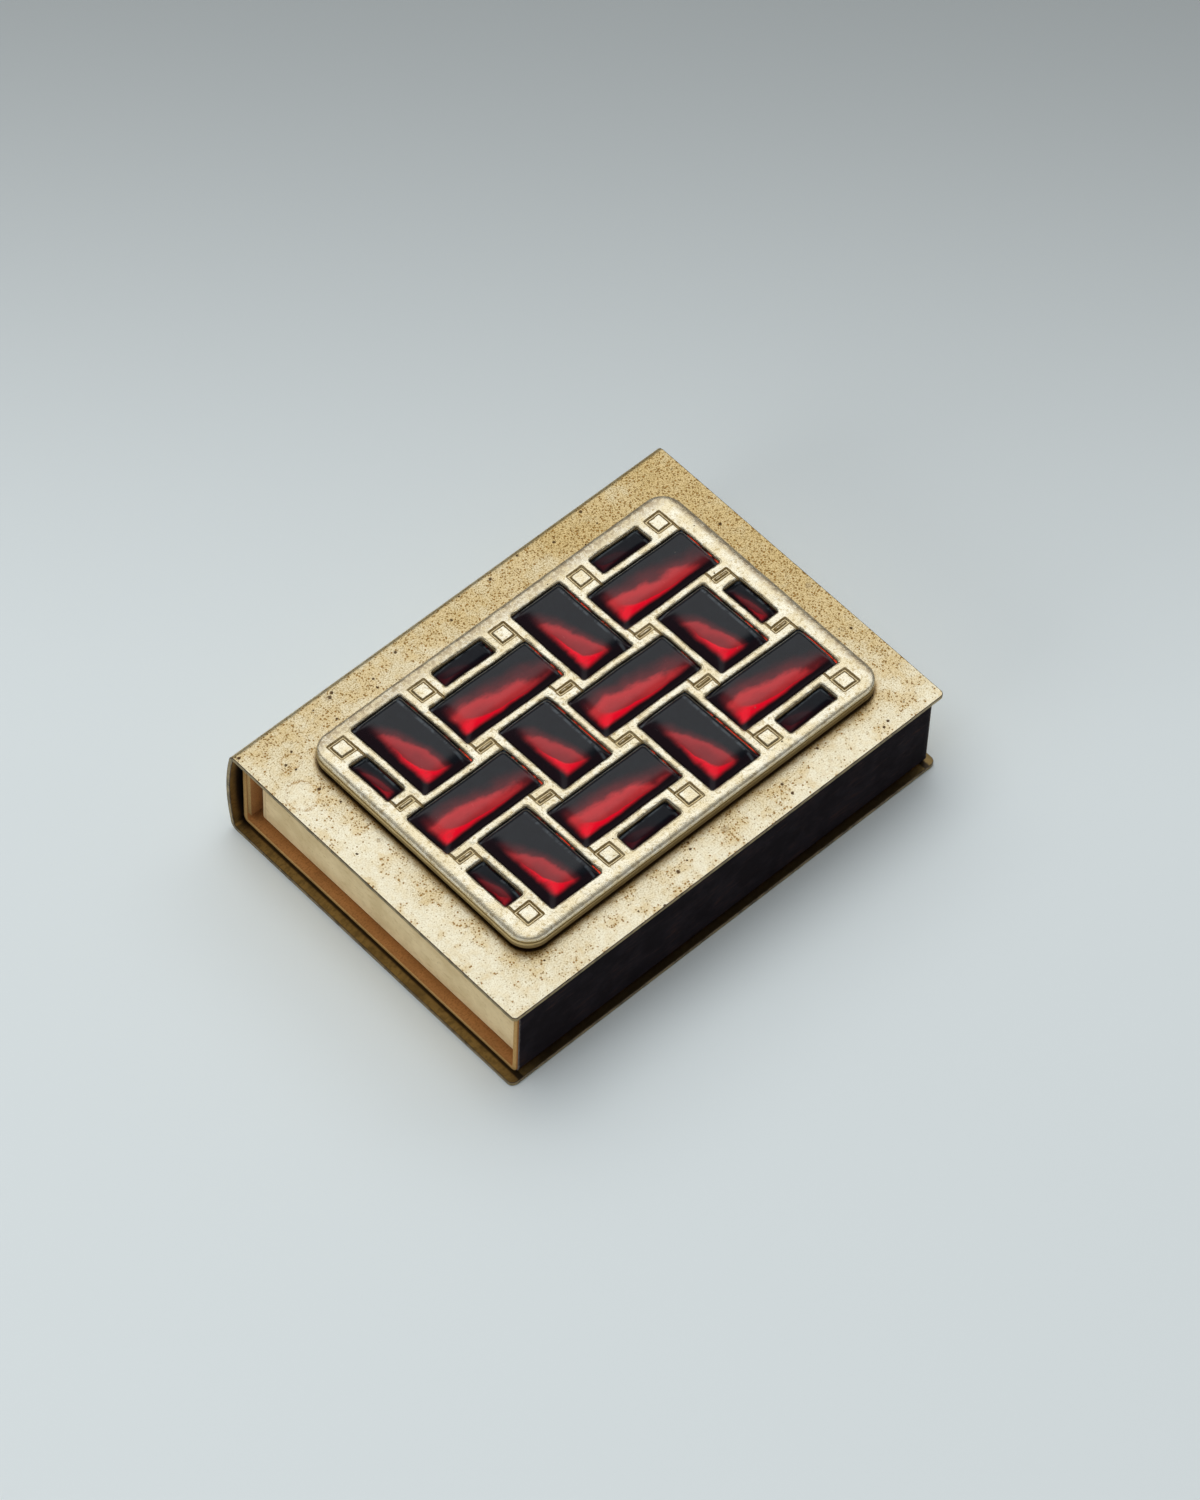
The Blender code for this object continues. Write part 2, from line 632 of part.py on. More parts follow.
def main():
    clear_scene()
    collection = make_collection("match_case")
    cutters = make_collection("cutters")
    materials = build_materials()
    build_cover(materials["brass"], collection)
    build_bond(materials["bond"], collection)
    cutter = build_plaque_cutter(cutters)
    build_plaque(materials["cast_metal"], collection, cutter)
    build_enamel(materials, collection)
    matchbox = make_empty("matchbox_slide", centre_of(SLEEVE_X, SLEEVE_Y, SLEEVE_Z), collection)
    build_sleeve(materials["sleeve_card"], collection, matchbox)
    build_striking_strips(materials["striker"], collection, matchbox)
    drawer = make_empty("tray_slide", centre_of(TRAY_X, TRAY_Y, TRAY_Z), collection, matchbox)
    build_tray(materials["tray_card"], collection, drawer)
    build_matches(materials, collection, cutters, drawer)


main()
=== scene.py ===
"""Looks of a match case: a folded brass cover with a cast plaque of red enamel cells.

Run as a script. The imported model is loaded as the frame, each operator dresses one group of
its parts, and the last one makes the floor, the light and the camera.
"""

import math

import bmesh
import bpy
from mathutils import Matrix, Vector, noise


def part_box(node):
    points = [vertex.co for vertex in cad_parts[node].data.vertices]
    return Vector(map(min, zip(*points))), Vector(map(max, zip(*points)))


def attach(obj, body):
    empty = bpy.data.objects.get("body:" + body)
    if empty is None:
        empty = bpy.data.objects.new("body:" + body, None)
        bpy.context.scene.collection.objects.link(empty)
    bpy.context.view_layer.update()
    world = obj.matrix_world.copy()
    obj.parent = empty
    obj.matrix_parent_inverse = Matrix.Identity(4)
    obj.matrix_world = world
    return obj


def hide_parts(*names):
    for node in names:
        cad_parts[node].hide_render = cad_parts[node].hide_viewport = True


bl_info = {
    "name": "Match Case Looks",
    "version": (1, 0, 0),
    "blender": (4, 5, 0),
    "location": "3D View > Sidebar > Match Case",
    "description": "Dresses a folded brass match case with its cast plaque, enamel and matchbox",
    "category": "Add Mesh",
}

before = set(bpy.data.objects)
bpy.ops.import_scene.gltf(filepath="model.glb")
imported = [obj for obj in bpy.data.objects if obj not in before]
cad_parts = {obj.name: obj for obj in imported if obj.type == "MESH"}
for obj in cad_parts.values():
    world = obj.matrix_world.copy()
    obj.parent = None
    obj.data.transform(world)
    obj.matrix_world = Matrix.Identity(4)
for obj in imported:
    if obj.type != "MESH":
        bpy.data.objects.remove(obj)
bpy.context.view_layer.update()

MM = 0.001
PLATE_TOP = 11.7 * MM
CELL_KINDS = {"long": 6, "cross": 6, "edge": 7}
ENAMEL_NODES = {
    kind: [f"enamel_{kind}_{number:02d}" for number in range(1, count + 1)]
    for kind, count in CELL_KINDS.items()
}
STICK_NODES = [f"match_stick_{number:02d}" for number in range(1, 11)]
HEAD_NODES = [f"match_head_{number:02d}" for number in range(1, 11)]


def length(name, description, default):
    return bpy.props.FloatProperty(
        name=name, description=description, default=default, unit="LENGTH", precision=5)


def number(name, description, default, low=0.0):
    return bpy.props.FloatProperty(name=name, description=description, default=default, min=low)


def share(name, description, default):
    return bpy.props.FloatProperty(
        name=name, description=description, default=default, min=0.0, max=1.0, subtype="FACTOR")


def vector(name, description, default, **unit):
    return bpy.props.FloatVectorProperty(
        name=name, description=description, default=default, size=3, **unit)


def colour(name, description, default):
    return vector(name, description, default, min=0.0, max=1.0, subtype="COLOR")


class CoverSettings(bpy.types.PropertyGroup):
    sheet: length("Sheet", "Thickness of the brass sheet", 0.5 * MM)
    fold_radius: length("Fold radius", "Outside radius of the two folds", 0.9 * MM)
    bulge: length("Spine bulge", "How far the spine's middle stands out", 0.5 * MM)
    top_corner: length("Top corner", "Radius of the top plate's free corners", 0.5 * MM)
    bottom_corner: length("Bottom corner", "Radius of the bottom plate's free corners", 0.7 * MM)
    setback: length("Setback", "How far the bottom plate's free edge stands back", 0.1 * MM)
    edge_break: length("Edge break", "Width of the break on the sheet's edges", 0.07 * MM)
    bright: colour("Bright brass", "Worn, clean brass", (0.93, 0.86, 0.655))
    # Reached where the brass is tarnished and where painted shade darkens it towards the spine and
    # the far end.
    tarnished_and_shaded: colour("Deep brass", "Brass with a thin tarnish", (0.63, 0.46, 0.195))
    pit: colour("Pit", "Corrosion in the pits", (0.21, 0.100, 0.034))
    freckle: colour("Freckle", "Small brown spots of tarnish", (0.37, 0.18, 0.032))
    inner: colour("Inner brass", "Tarnished brass inside the cover", (0.31, 0.205, 0.068))
    cut: colour("Cut edge", "Brass at the cut edges", (0.36, 0.27, 0.13))
    burr: colour("Burr", "Darkened break on the edges", (0.16, 0.12, 0.08))


class PlaqueSettings(bpy.types.PropertyGroup):
    column_pitch: length("Column pitch", "Distance between columns of cells", 10.0 * MM)
    row_pitch: length("Row pitch", "Distance between rows of cells", 8.0 * MM)
    pad_half_x: length("Pad half length", "Half the pads' size along the spine", 1.025 * MM)
    pad_half_y: length("Pad half width", "Half the inner pads' size across", 0.4 * MM)
    rib: length("Rib", "Width of the ribs between cells", 0.95 * MM)
    cell_gap: length("Cell gap", "Gap between enamel and pocket in the CAD model", 0.08 * MM)
    pocket_depth: length("Pocket depth", "Depth of the pockets", 0.88 * MM)
    pocket_corner: length("Pocket corner", "Corner radius of the pockets", 0.16 * MM)
    rib_round: length("Rib rounding", "Width of the rounding beside a pocket", 0.34 * MM)
    rib_drop: length("Rib drop", "Height of the rounding beside a pocket", 0.2 * MM)
    groove: length("Groove", "Width of the grooves round the pads", 0.32 * MM)
    groove_depth: length("Groove depth", "Depth of the grooves round the pads", 0.11 * MM)
    corner: length("Corner", "Corner radius of the plaque", 2.4 * MM)
    edge_round: length("Edge rounding", "Width of the rounded rim", 0.8 * MM)
    edge_drop: length("Edge drop", "Height of the rounded rim", 0.44 * MM)
    metal: colour("Cast metal", "Pale cast metal", (0.94, 0.88, 0.70))
    warm: colour("Warm metal", "Yellower areas of the casting", (0.85, 0.74, 0.50))
    # Painted shade on the far rims, which turn away from the light.
    painted_rim_shade: colour("Dull metal", "Duller metal of the far rims", (0.44, 0.345, 0.215))
    gold: colour("Wall gold", "Golden tone of the plaque's wall", (0.86, 0.66, 0.30))
    # Patina in the pockets; the same tone also paints the shade on the rim and at the wall's foot.
    patina_and_shade: colour("Patina", "Dark patina in the recesses", (0.19, 0.125, 0.045))


class EnamelSettings(bpy.types.PropertyGroup):
    lip: length("Lip", "Depth at which the enamel meets the pocket's wall", 0.15 * MM)
    valley: length("Valley", "Depth of the hollow just inside the lip", 0.30 * MM)
    near_shoulder: length("Near shoulder", "Width of the rounding at -X and -Y", 2.35 * MM)
    far_shoulder: length("Far shoulder", "Width of the rounding at +X and +Y", 0.85 * MM)
    edge_depth: length("Edge cell depth", "Depth of the enamel in the edge cells", 0.24 * MM)
    roundness: number("Roundness", "Exponent of the pillow's profile", 2.5, 1.5)
    # The enamel's tones are painted light: painted shade where no light comes through and beside
    # the near walls, a painted glow through the body and in the corner, and a painted lit line at
    # the wall.
    dark: colour("Dark enamel", "Enamel where no light comes through", (0.004, 0.005, 0.008))
    border: colour("Border", "Dark enamel beside the near walls", (0.010, 0.0045, 0.007))
    painted_glow: colour("Red body", "Enamel lit through its body", (0.76, 0.042, 0.048))
    painted_ember: colour("Ember", "Enamel where the light gathers", (1.0, 0.0, 0.020))
    rim: colour("Rim light", "Thin lit line at the pocket's wall", (0.95, 0.11, 0.05))


class MatchboxSettings(bpy.types.PropertyGroup):
    card: length("Card", "Thickness of the sleeve's card", 0.5 * MM)
    fold_radius: length("Fold radius", "Outside radius of the sleeve's folds", 0.7 * MM)
    slit: length("Slit", "Gap between the sleeve's two plies", 0.08 * MM)
    flap_gap: length("Flap gap", "Gap under the inner flap", 1.2 * MM)
    ply_drop: length("Ply drop", "How far the outer ply ends below the top", 0.5 * MM)
    strip_wrap: length("Strip wrap", "How far the strip reaches round the folds", 0.45 * MM)
    tray_card: length("Tray card", "Thickness of the tray's card", 0.45 * MM)
    tray_corner: length("Tray corner", "Corner radius of the tray", 0.4 * MM)
    brown: colour("Card brown", "Face of the sleeve's card", (0.375, 0.165, 0.050))
    tan: colour("Cut card", "Cut edge of the sleeve's card", (0.48, 0.29, 0.105))
    black: colour("Striking coat", "The striking strips", (0.010, 0.007, 0.009))
    frayed: colour("Frayed edge", "Pale fibres at the strip's edges", (0.34, 0.29, 0.26))
    cream: colour("Tray cream", "Face of the tray's card", (0.87, 0.70, 0.41))
    tray_cut: colour("Cut tray card", "Cut edge of the tray's card", (0.55, 0.40, 0.21))


class MatchSettings(bpy.types.PropertyGroup):
    chamfer: length("Chamfer", "Worn edges of the sticks", 0.12 * MM)
    wood: colour("Wood", "Match sticks", (0.70, 0.50, 0.27))
    head: colour("Head", "Match heads", (0.20, 0.030, 0.018))


class StageSettings(bpy.types.PropertyGroup):
    lens: number("Lens", "Focal length in millimetres", 160.92)
    camera: vector("Camera", "Place of the camera", (-0.256233, -0.259249, 0.525323),
                   unit="LENGTH")
    across: vector("Across", "Direction of the picture's right side",
                   (0.733465, -0.679249, 0.025501))
    upward: vector("Upward", "Direction of the picture's top", (0.545124, 0.610218, 0.574868))
    floor: colour("Floor", "The pale floor", (0.76, 0.82, 0.83))
    ambient: number("Ambient", "Strength of the even light", 0.17)
    panel: number("Panel", "Strength of the soft panel behind the case", 1.16)
    ring: number("Ring", "Strength of the pale walls that only shiny parts mirror", 0.80)
    overhead: number(
        "Overhead", "Strength of the pale patch overhead that only shiny parts mirror", 0.50)
    mirrored: share("Mirrored", "Share of the even light that shiny parts mirror", 0.45)
    backdrop: number("Backdrop", "Strength of the grey backdrop", 0.08)
    key: number("Key", "Power of the softbox above the case", 3.2)
    fill: number("Fill", "Power of the low light on the left", 1.7)


class MatchCaseSettings(bpy.types.PropertyGroup):
    cover: bpy.props.PointerProperty(type=CoverSettings)
    plaque: bpy.props.PointerProperty(type=PlaqueSettings)
    enamel: bpy.props.PointerProperty(type=EnamelSettings)
    matchbox: bpy.props.PointerProperty(type=MatchboxSettings)
    matches: bpy.props.PointerProperty(type=MatchSettings)
    stage: bpy.props.PointerProperty(type=StageSettings)


# Node trees


class Value:
    """A value in a node tree. Arithmetic on it adds the nodes that work it out."""

    def __init__(self, item, output=0):
        self.tree = item.id_data
        self.socket = item.outputs[output]

    def maths(self, operation, *others):
        inputs = dict(enumerate((self, *others)))
        return Value(node(self.tree, "ShaderNodeMath", inputs, operation=operation))

    def vector(self, operation, *others):
        inputs = dict(enumerate((self, *others)))
        item = node(self.tree, "ShaderNodeVectorMath", inputs, operation=operation)
        single = operation in {"LENGTH", "DISTANCE", "DOT_PRODUCT"}
        return Value(item, "Value" if single else 0)

    def parts(self):
        item = node(self.tree, "ShaderNodeSeparateXYZ", {0: self})
        return [Value(item, axis) for axis in range(3)]

    def __add__(self, other):
        return self.maths("ADD", other)

    def __sub__(self, other):
        return self.maths("SUBTRACT", other)

    def __mul__(self, other):
        return self.maths("MULTIPLY", other)

    def __truediv__(self, other):
        return self.maths("DIVIDE", other)

    def __pow__(self, other):
        return self.maths("POWER", other)

    def __abs__(self):
        return self.maths("ABSOLUTE")


def fill(socket, value):
    """Joins the socket to a value in its tree, or sets it."""
    if isinstance(value, Value):
        value.tree.links.new(value.socket, socket)
    else:
        socket.default_value = value


def node(tree, kind, sockets=None, **settings):
    item = tree.nodes.new(kind)
    for name, value in settings.items():
        setattr(item, name, value)
    for name, value in (sockets or {}).items():
        fill(item.inputs[name], value)
    return item


def highest(first, *others):
    for other in others:
        first = first.maths("MAXIMUM", other)
    return first


def lowest(first, *others):
    for other in others:
        first = first.maths("MINIMUM", other)
    return first


def ramp(value, start, end, low=0.0, high=1.0):
    """A soft step from low to high as the value goes from start to end."""
    return Value(node(value.tree, "ShaderNodeMapRange", {
        "Value": value, "From Min": start, "From Max": end, "To Min": low, "To Max": high,
    }, interpolation_type="SMOOTHSTEP"), "Result")


def blend(factor, first, second):
    """The first colour, turned into the second by the factor."""
    sockets = {0: factor, 6: opaque(first), 7: opaque(second)}
    return Value(node(factor.tree, "ShaderNodeMix", sockets, data_type="RGBA"), 2)


def opaque(tint):
    return tint if isinstance(tint, Value) else (*tuple(tint)[:3], 1.0)


def scaled(tint, factor):
    return tuple(min(1.0, channel * factor) for channel in tint)


def stretched(coords, scale, turn=0.0):
    return Value(node(coords.tree, "ShaderNodeMapping", {
        "Vector": coords, "Scale": scale, "Rotation": (0.0, 0.0, turn)}))


def cloud(coords, size, detail=2.0, roughness=0.5, output="Fac"):
    """Noise whose patches are about this size, from 0 to 1."""
    return Value(node(coords.tree, "ShaderNodeTexNoise", {
        "Vector": coords, "Scale": 1.0 / size, "Detail": detail, "Roughness": roughness,
    }), output)


def shifted(coords, size, reach):
    """The coordinates, moved along the floor by noise."""
    off = cloud(coords, size, 1.0, output="Color").vector("SUBTRACT", (0.5, 0.5, 0.5))
    return coords.vector("ADD", off.vector("MULTIPLY", (reach, reach, 0.0)))


def spots(coords, size, radius_share, kept_share):
    """Round spots on a jittered grid of this size, of which only a share is kept."""
    cells = node(coords.tree, "ShaderNodeTexVoronoi", {"Vector": coords, "Scale": 1.0 / size})
    picked = node(coords.tree, "ShaderNodeSeparateColor", {"Color": Value(cells, "Color")})
    reach = Value(picked, 1) * (radius_share * 0.7) + radius_share * 0.5
    dot = ramp(reach - Value(cells, "Distance"), 0.0, radius_share * 0.25)
    return dot * Value(picked, 0).maths("LESS_THAN", kept_share)


def stored(tree, name, output="Vector"):
    """What the mesh's points carry under this name."""
    return Value(node(tree, "ShaderNodeAttribute", attribute_name=name), output)


def bump(height, strength, distance, normal=None):
    sockets = {"Height": height, "Strength": strength, "Distance": distance}
    if normal is not None:
        sockets["Normal"] = normal
    return Value(node(height.tree, "ShaderNodeBump", sockets))


def new_material(name):
    """A material with its object coordinates and its shader."""
    material = bpy.data.materials.new(name)
    material.use_nodes = True
    tree = material.node_tree
    coords = Value(node(tree, "ShaderNodeTexCoord"), "Object")
    return material, coords, tree.nodes["Principled BSDF"]


def feed(shader, **sockets):
    """Sets or joins the shader's sockets, named with underscores for spaces."""
    for name, value in sockets.items():
        fill(shader.inputs[name.replace("_", " ")], value)


# Mesh helpers


def finish_piece(bm, name, materials, body, replaced, smooth_degrees):
    """Makes the piece's object from its bmesh and gives it its place in the frame."""
    mesh = bpy.data.meshes.new(name)
    bm.to_mesh(mesh)
    bm.free()
    for material in materials:
        mesh.materials.append(material)
    mesh.shade_smooth()
    mesh.set_sharp_from_angle(angle=math.radians(smooth_degrees))
    piece = bpy.data.objects.new(name, mesh)
    bpy.context.scene.collection.objects.link(piece)
    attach(piece, body)
    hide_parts(*replaced)
    return piece


def round_off(bm, geom, width, segments, affect="EDGES"):
    bmesh.ops.bevel(bm, geom=geom, offset=width, offset_type="OFFSET", segments=segments,
                    profile=0.5, affect=affect, material=-1)


def add_block(bm, low, high):
    """A block that fills the box, given back as its edges."""
    place = Matrix.Translation((low + high) / 2) @ Matrix.Diagonal((*(high - low), 1.0))
    block = bmesh.ops.create_cube(bm, size=1.0, matrix=place)
    return list({edge for vert in block["verts"] for edge in vert.link_edges})


def border_edges(bm):
    return [edge for edge in bm.edges if len(edge.link_faces) == 1]


def draw_out(bm, edges):
    """Draws the edges out into faces and gives the new points and edges back."""
    drawn = bmesh.ops.extrude_edge_only(bm, edges=edges)["geom"]
    points = {item for item in drawn if isinstance(item, bmesh.types.BMVert)}
    return points, [item for item in drawn if isinstance(item, bmesh.types.BMEdge)
                    and all(vert in points for vert in item.verts)]


def arc(centre, radius, start, end, steps):
    angles = [start + (end - start) * step / steps for step in range(steps + 1)]
    return [(centre[0] + radius * math.cos(angle), centre[1] + radius * math.sin(angle))
            for angle in angles]


def folded_path(corners, radius, steps):
    """A path through the corners, each inner corner a right-angled fold of this radius."""
    path = [corners[0]]
    for back, here, ahead in zip(corners, corners[1:], corners[2:]):
        corner = Vector(here)
        inward = (Vector(back) - corner).normalized()
        onward = (Vector(ahead) - corner).normalized()
        centre = corner + (inward + onward) * radius
        for step in range(steps + 1):
            turn = math.pi / 2 * step / steps
            point = centre - onward * radius * math.cos(turn) - inward * radius * math.sin(turn)
            path.append((point.x, point.y))
    path.append(corners[-1])
    return path


def swept_sheet(path, x_low, x_high, parts=1):
    """An open sheet: the (y, z) path swept along X in a number of equal parts."""
    bm = bmesh.new()
    verts = [bm.verts.new((x_low, y, z)) for y, z in path]
    edges = [bm.edges.new(pair) for pair in zip(verts, verts[1:])]
    for _part in range(parts):
        moved, edges = draw_out(bm, edges)
        bmesh.ops.translate(bm, verts=list(moved), vec=((x_high - x_low) / parts, 0.0, 0.0))
    bmesh.ops.recalc_face_normals(bm, faces=bm.faces)
    return bm


def add_wall(piece, thickness, inner, rim, offset=-1.0):
    wall = piece.modifiers.new("wall", "SOLIDIFY")
    wall.thickness = thickness
    wall.offset = offset
    wall.use_even_offset = True
    wall.material_offset = inner
    wall.material_offset_rim = rim


def rounded(x, y, half_x, half_y, radius):
    """Moves a point of a rectangle so that the rectangle's corners are rounded."""
    over_x = (abs(x) - (half_x - radius)) / radius
    over_y = (abs(y) - (half_y - radius)) / radius
    if over_x <= 0 or over_y <= 0:
        return x, y
    pull = max(over_x, over_y) / math.hypot(over_x, over_y)
    return (
        math.copysign(half_x - radius + over_x * pull * radius, x),
        math.copysign(half_y - radius + over_y * pull * radius, y),
    )


def held(value):
    return max(0.0, min(1.0, value))


def lumps(x, y, size, seed):
    """Smooth noise from about -1 to 1 with lumps of this size."""
    return noise.noise(Vector((x / size, y / size, seed)))


def sway(x, y):
    """The hand-made lean and unevenness of the weave: how far a point is off its place."""
    reach, size = 0.10 * MM, 5.0 * MM
    return Vector((reach * lumps(x, y, size, 11.3) - 0.017 * y,
                   reach * lumps(x, y, size, 47.9) - 0.009 * x))


# Cover

# Marks seen on the top plate: place along and across the spine, and radius, in millimetres.
PITS = (
    (-23.2, 8.6, 0.15), (-26.0, 3.2, 0.14), (-16.1, 18.2, 0.26), (-15.6, 18.5, 0.22),
    (-24.3, 15.1, 0.18), (-22.9, 15.9, 0.16), (-23.9, 14.1, 0.14), (-23.8, 11.0, 0.17),
    (-8.0, 18.0, 0.20), (-1.5, 17.3, 0.19), (4.5, 18.4, 0.22), (12.0, 17.6, 0.18),
    (-11.6, 17.1, 0.16), (0.9, 18.9, 0.17), (8.3, 18.8, 0.19), (16.4, 18.6, 0.20),
    (25.4, 8.6, 0.20), (26.2, -8.7, 0.17), (14.1, -16.6, 0.18), (8.8, -17.4, 0.20),
    (-2.6, -17.0, 0.16), (-5.2, -18.1, 0.26),
)
DENTS = (
    (-23.5, 3.0, 0.34), (1.3, -17.6, 0.60), (26.6, -2.4, 0.45), (-19.1, -14.5, 0.40),
    (-16.3, 18.3, 0.45),
)
RINGS = ((-25.4, 11.4, 1.6), (-23.6, 15.1, 0.9))

# Tones of those marks and of the tarnish between them, with crust and painted shade at the
# plaque's foot.
SAND = (0.76, 0.58, 0.28)
GRAIN = (0.50, 0.36, 0.14)
CLOUDED = (0.70, 0.50, 0.21)
GRIT = (0.36, 0.22, 0.06)
SPECK = (0.25, 0.13, 0.035)
STAIN = (0.44, 0.25, 0.07)
HALO = (0.50, 0.32, 0.11)
CRUST_AND_SHADE = (0.17, 0.10, 0.04)
SMUDGE = (0.38, 0.27, 0.14)


def cover_path(low, high, settings):
    """The folded sheet's outside, from the top plate round the spine to the bottom plate."""
    spine = high.y - settings.bulge
    radius = settings.fold_radius
    upper = high.z - radius
    half_span = (upper - low.z - radius) / 2
    bow_radius = (half_span ** 2 + settings.bulge ** 2) / (2 * settings.bulge)
    bow_angle = math.asin(half_span / bow_radius)
    bow_centre = (high.y - bow_radius, (low.z + high.z) / 2)
    path = [(low.y, high.z)]
    path += arc((spine - radius, upper), radius, math.pi / 2, 0.0, 10)
    path += arc(bow_centre, bow_radius, bow_angle, -bow_angle, 20)[1:-1]
    path += arc((spine - radius, low.z + radius), radius, 0.0, -math.pi / 2, 10)
    path.append((low.y + settings.setback, low.z))
    return path


def round_free_corners(bm, z_level, radius):
    near = radius / 8
    level = [vert for vert in bm.verts if abs(vert.co.z - z_level) < near]
    y_level = min(vert.co.y for vert in level)
    corners = [vert for vert in level
               if abs(vert.co.y - y_level) < near and len(vert.link_edges) == 2]
    round_off(bm, corners, radius, 8, "VERTICES")


def placed_marks(coords, marks):
    """Round, slightly uneven marks at given places of the top plate."""
    place = shifted(coords, MM / 5.2, 0.16 * MM)
    return highest(*(
        ramp(place.vector("DISTANCE", (x * MM, y * MM, PLATE_TOP)), radius * MM, radius * 0.3 * MM)
        for x, y, radius in marks))


def plaque_distance(coords):
    """Distance from the plaque's rounded outline, seen from above."""
    low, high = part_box("cast_plaque")
    middle, half = (low + high) / 2, (high - low) / 2
    corner = bpy.context.scene.match_case.plaque.corner
    outside = coords.vector("SUBTRACT", (middle.x, middle.y, 0.0)).vector("ABSOLUTE")
    outside = outside.vector("SUBTRACT", (half.x - corner, half.y - corner, 1.0))
    return outside.vector("MAXIMUM", (0.0, 0.0, 0.0)).vector("LENGTH") - corner


def ring_stain(coords):
    """Two uneven rings on the near part of the top plate, where freckles gather."""
    place = shifted(coords, MM / 0.65, 0.9 * MM)
    return highest(*(
        ramp(abs(place.vector("DISTANCE", (x * MM, y * MM, PLATE_TOP)) - radius * MM),
             0.20 * MM, 0.05 * MM)
        for x, y, radius in RINGS))


def tarnish_and_painted_shade(coords, beyond):
    """Tarnish and painted shade: the brass darkens towards the spine and the far end, and is
    tarnished beside the plaque.
    """
    x, y, z = coords.parts()
    spine_side = ramp(y, 10.3 * MM, 18.0 * MM, 0.0, 0.50)
    far_end = ramp(y * 0.80 + x, 4.0 * MM, 30.0 * MM, 0.0, 0.80)
    beside = ramp(beyond, 4.5 * MM, 0.5 * MM, 0.0, 0.20)
    aged_and_shaded = highest(spine_side, far_end, beside) + (cloud(coords, 7.0 * MM, 3.0, 0.6) * 1.2 - 0.60)
    return lowest(highest(aged_and_shaded, 0.0), 1.0) * ramp(z, 9.0 * MM, 11.2 * MM, 0.55, 1.0)


def brass_marks(coords, settings):
    """Tarnish, freckles, pits and stains of the outer brass, as (colour, roughness, height)."""
    grain = cloud(coords, 0.15 * MM, 2.0, 0.6)
    soft = cloud(coords, 0.9 * MM, 3.0, 0.55)
    cluster = cloud(coords, 1.9 * MM, 3.0, 0.6)
    _x, _y, z = coords.parts()
    upper = ramp(z, 10.5 * MM, 11.6 * MM)
    beyond = plaque_distance(coords)
    aged_and_shaded = tarnish_and_painted_shade(coords, beyond)

    # Tarnish and painted shade: the brass darkens towards the spine and the far end.
    tone = blend(aged_and_shaded * 0.9, settings.bright, settings.tarnished_and_shaded)
    tone = blend(ramp(soft, 0.42, 0.66, 0.0, 0.24), tone, SAND)
    grained = ramp(grain, 0.44, 0.62) * (aged_and_shaded * 0.75 + 0.30)
    tone = blend(grained, tone, GRAIN)

    crowded = aged_and_shaded * 0.22 + cluster
    tone = blend(ramp(crowded, 0.47, 0.66, 0.0, 0.45), tone, CLOUDED)
    rings = ring_stain(coords) * ramp(soft, 0.36, 0.54, 0.2, 1.0)
    density = highest(ramp(crowded, 0.47, 0.64, 0.015, 0.90), rings * 0.8)
    freckles = spots(coords, 0.26 * MM, 0.40, density)
    tone = blend(freckles * 0.90, tone, settings.freckle)
    tone = blend(spots(coords, 0.18 * MM, 0.46, aged_and_shaded * 0.80 + 0.10) * 0.65, tone, GRIT)
    specks = spots(coords, 0.44 * MM, 0.27, ramp(crowded, 0.54, 0.68, 0.0, 0.50))
    tone = blend(specks * 0.85, tone, SPECK)
    tone = blend(rings * ramp(grain, 0.42, 0.56, 0.15, 0.75), tone, STAIN)

    ragged = soft * (2.2 * MM) + (beyond - 1.1 * MM)
    tone = blend(ramp(ragged, 0.9 * MM, -0.2 * MM, 0.0, 0.62) * upper, tone, HALO)
    # A dark line at the plaque's foot: crust and painted contact shade where the plaque meets the
    # sheet.
    foot_crust_and_shade = ramp(grain * (0.5 * MM) + beyond, 0.60 * MM, 0.28 * MM, 0.0, 0.90) * upper
    tone = blend(foot_crust_and_shade, tone, CRUST_AND_SHADE)

    pits = spots(coords, 1.25 * MM, 0.125, ramp(crowded, 0.44, 0.62, 0.05, 0.50))
    pits = highest(pits, placed_marks(coords, PITS))
    tone = blend(pits * 0.88, tone, settings.pit)
    dents = placed_marks(coords, DENTS)
    tone = blend(dents * ramp(grain, 0.35, 0.60, 0.25, 0.75), tone, SMUDGE)

    rough = highest(grained * 0.18 + 0.32, pits * 0.75)
    height = grain * 0.45 + soft * 0.8 - freckles * 0.35 - pits * 1.2 - dents * 0.6
    return tone, rough, height


def outer_brass(settings):
    material, coords, shader = new_material("outer_brass")
    tone, rough, height = brass_marks(coords, settings)
    wave = bump(cloud(coords, 9.0 * MM, 1.0), 0.35, 0.25 * MM)
    feed(shader, Base_Color=tone, Roughness=rough, Metallic=1.0,
         Normal=bump(height, 0.75, 0.05 * MM, wave))
    return material


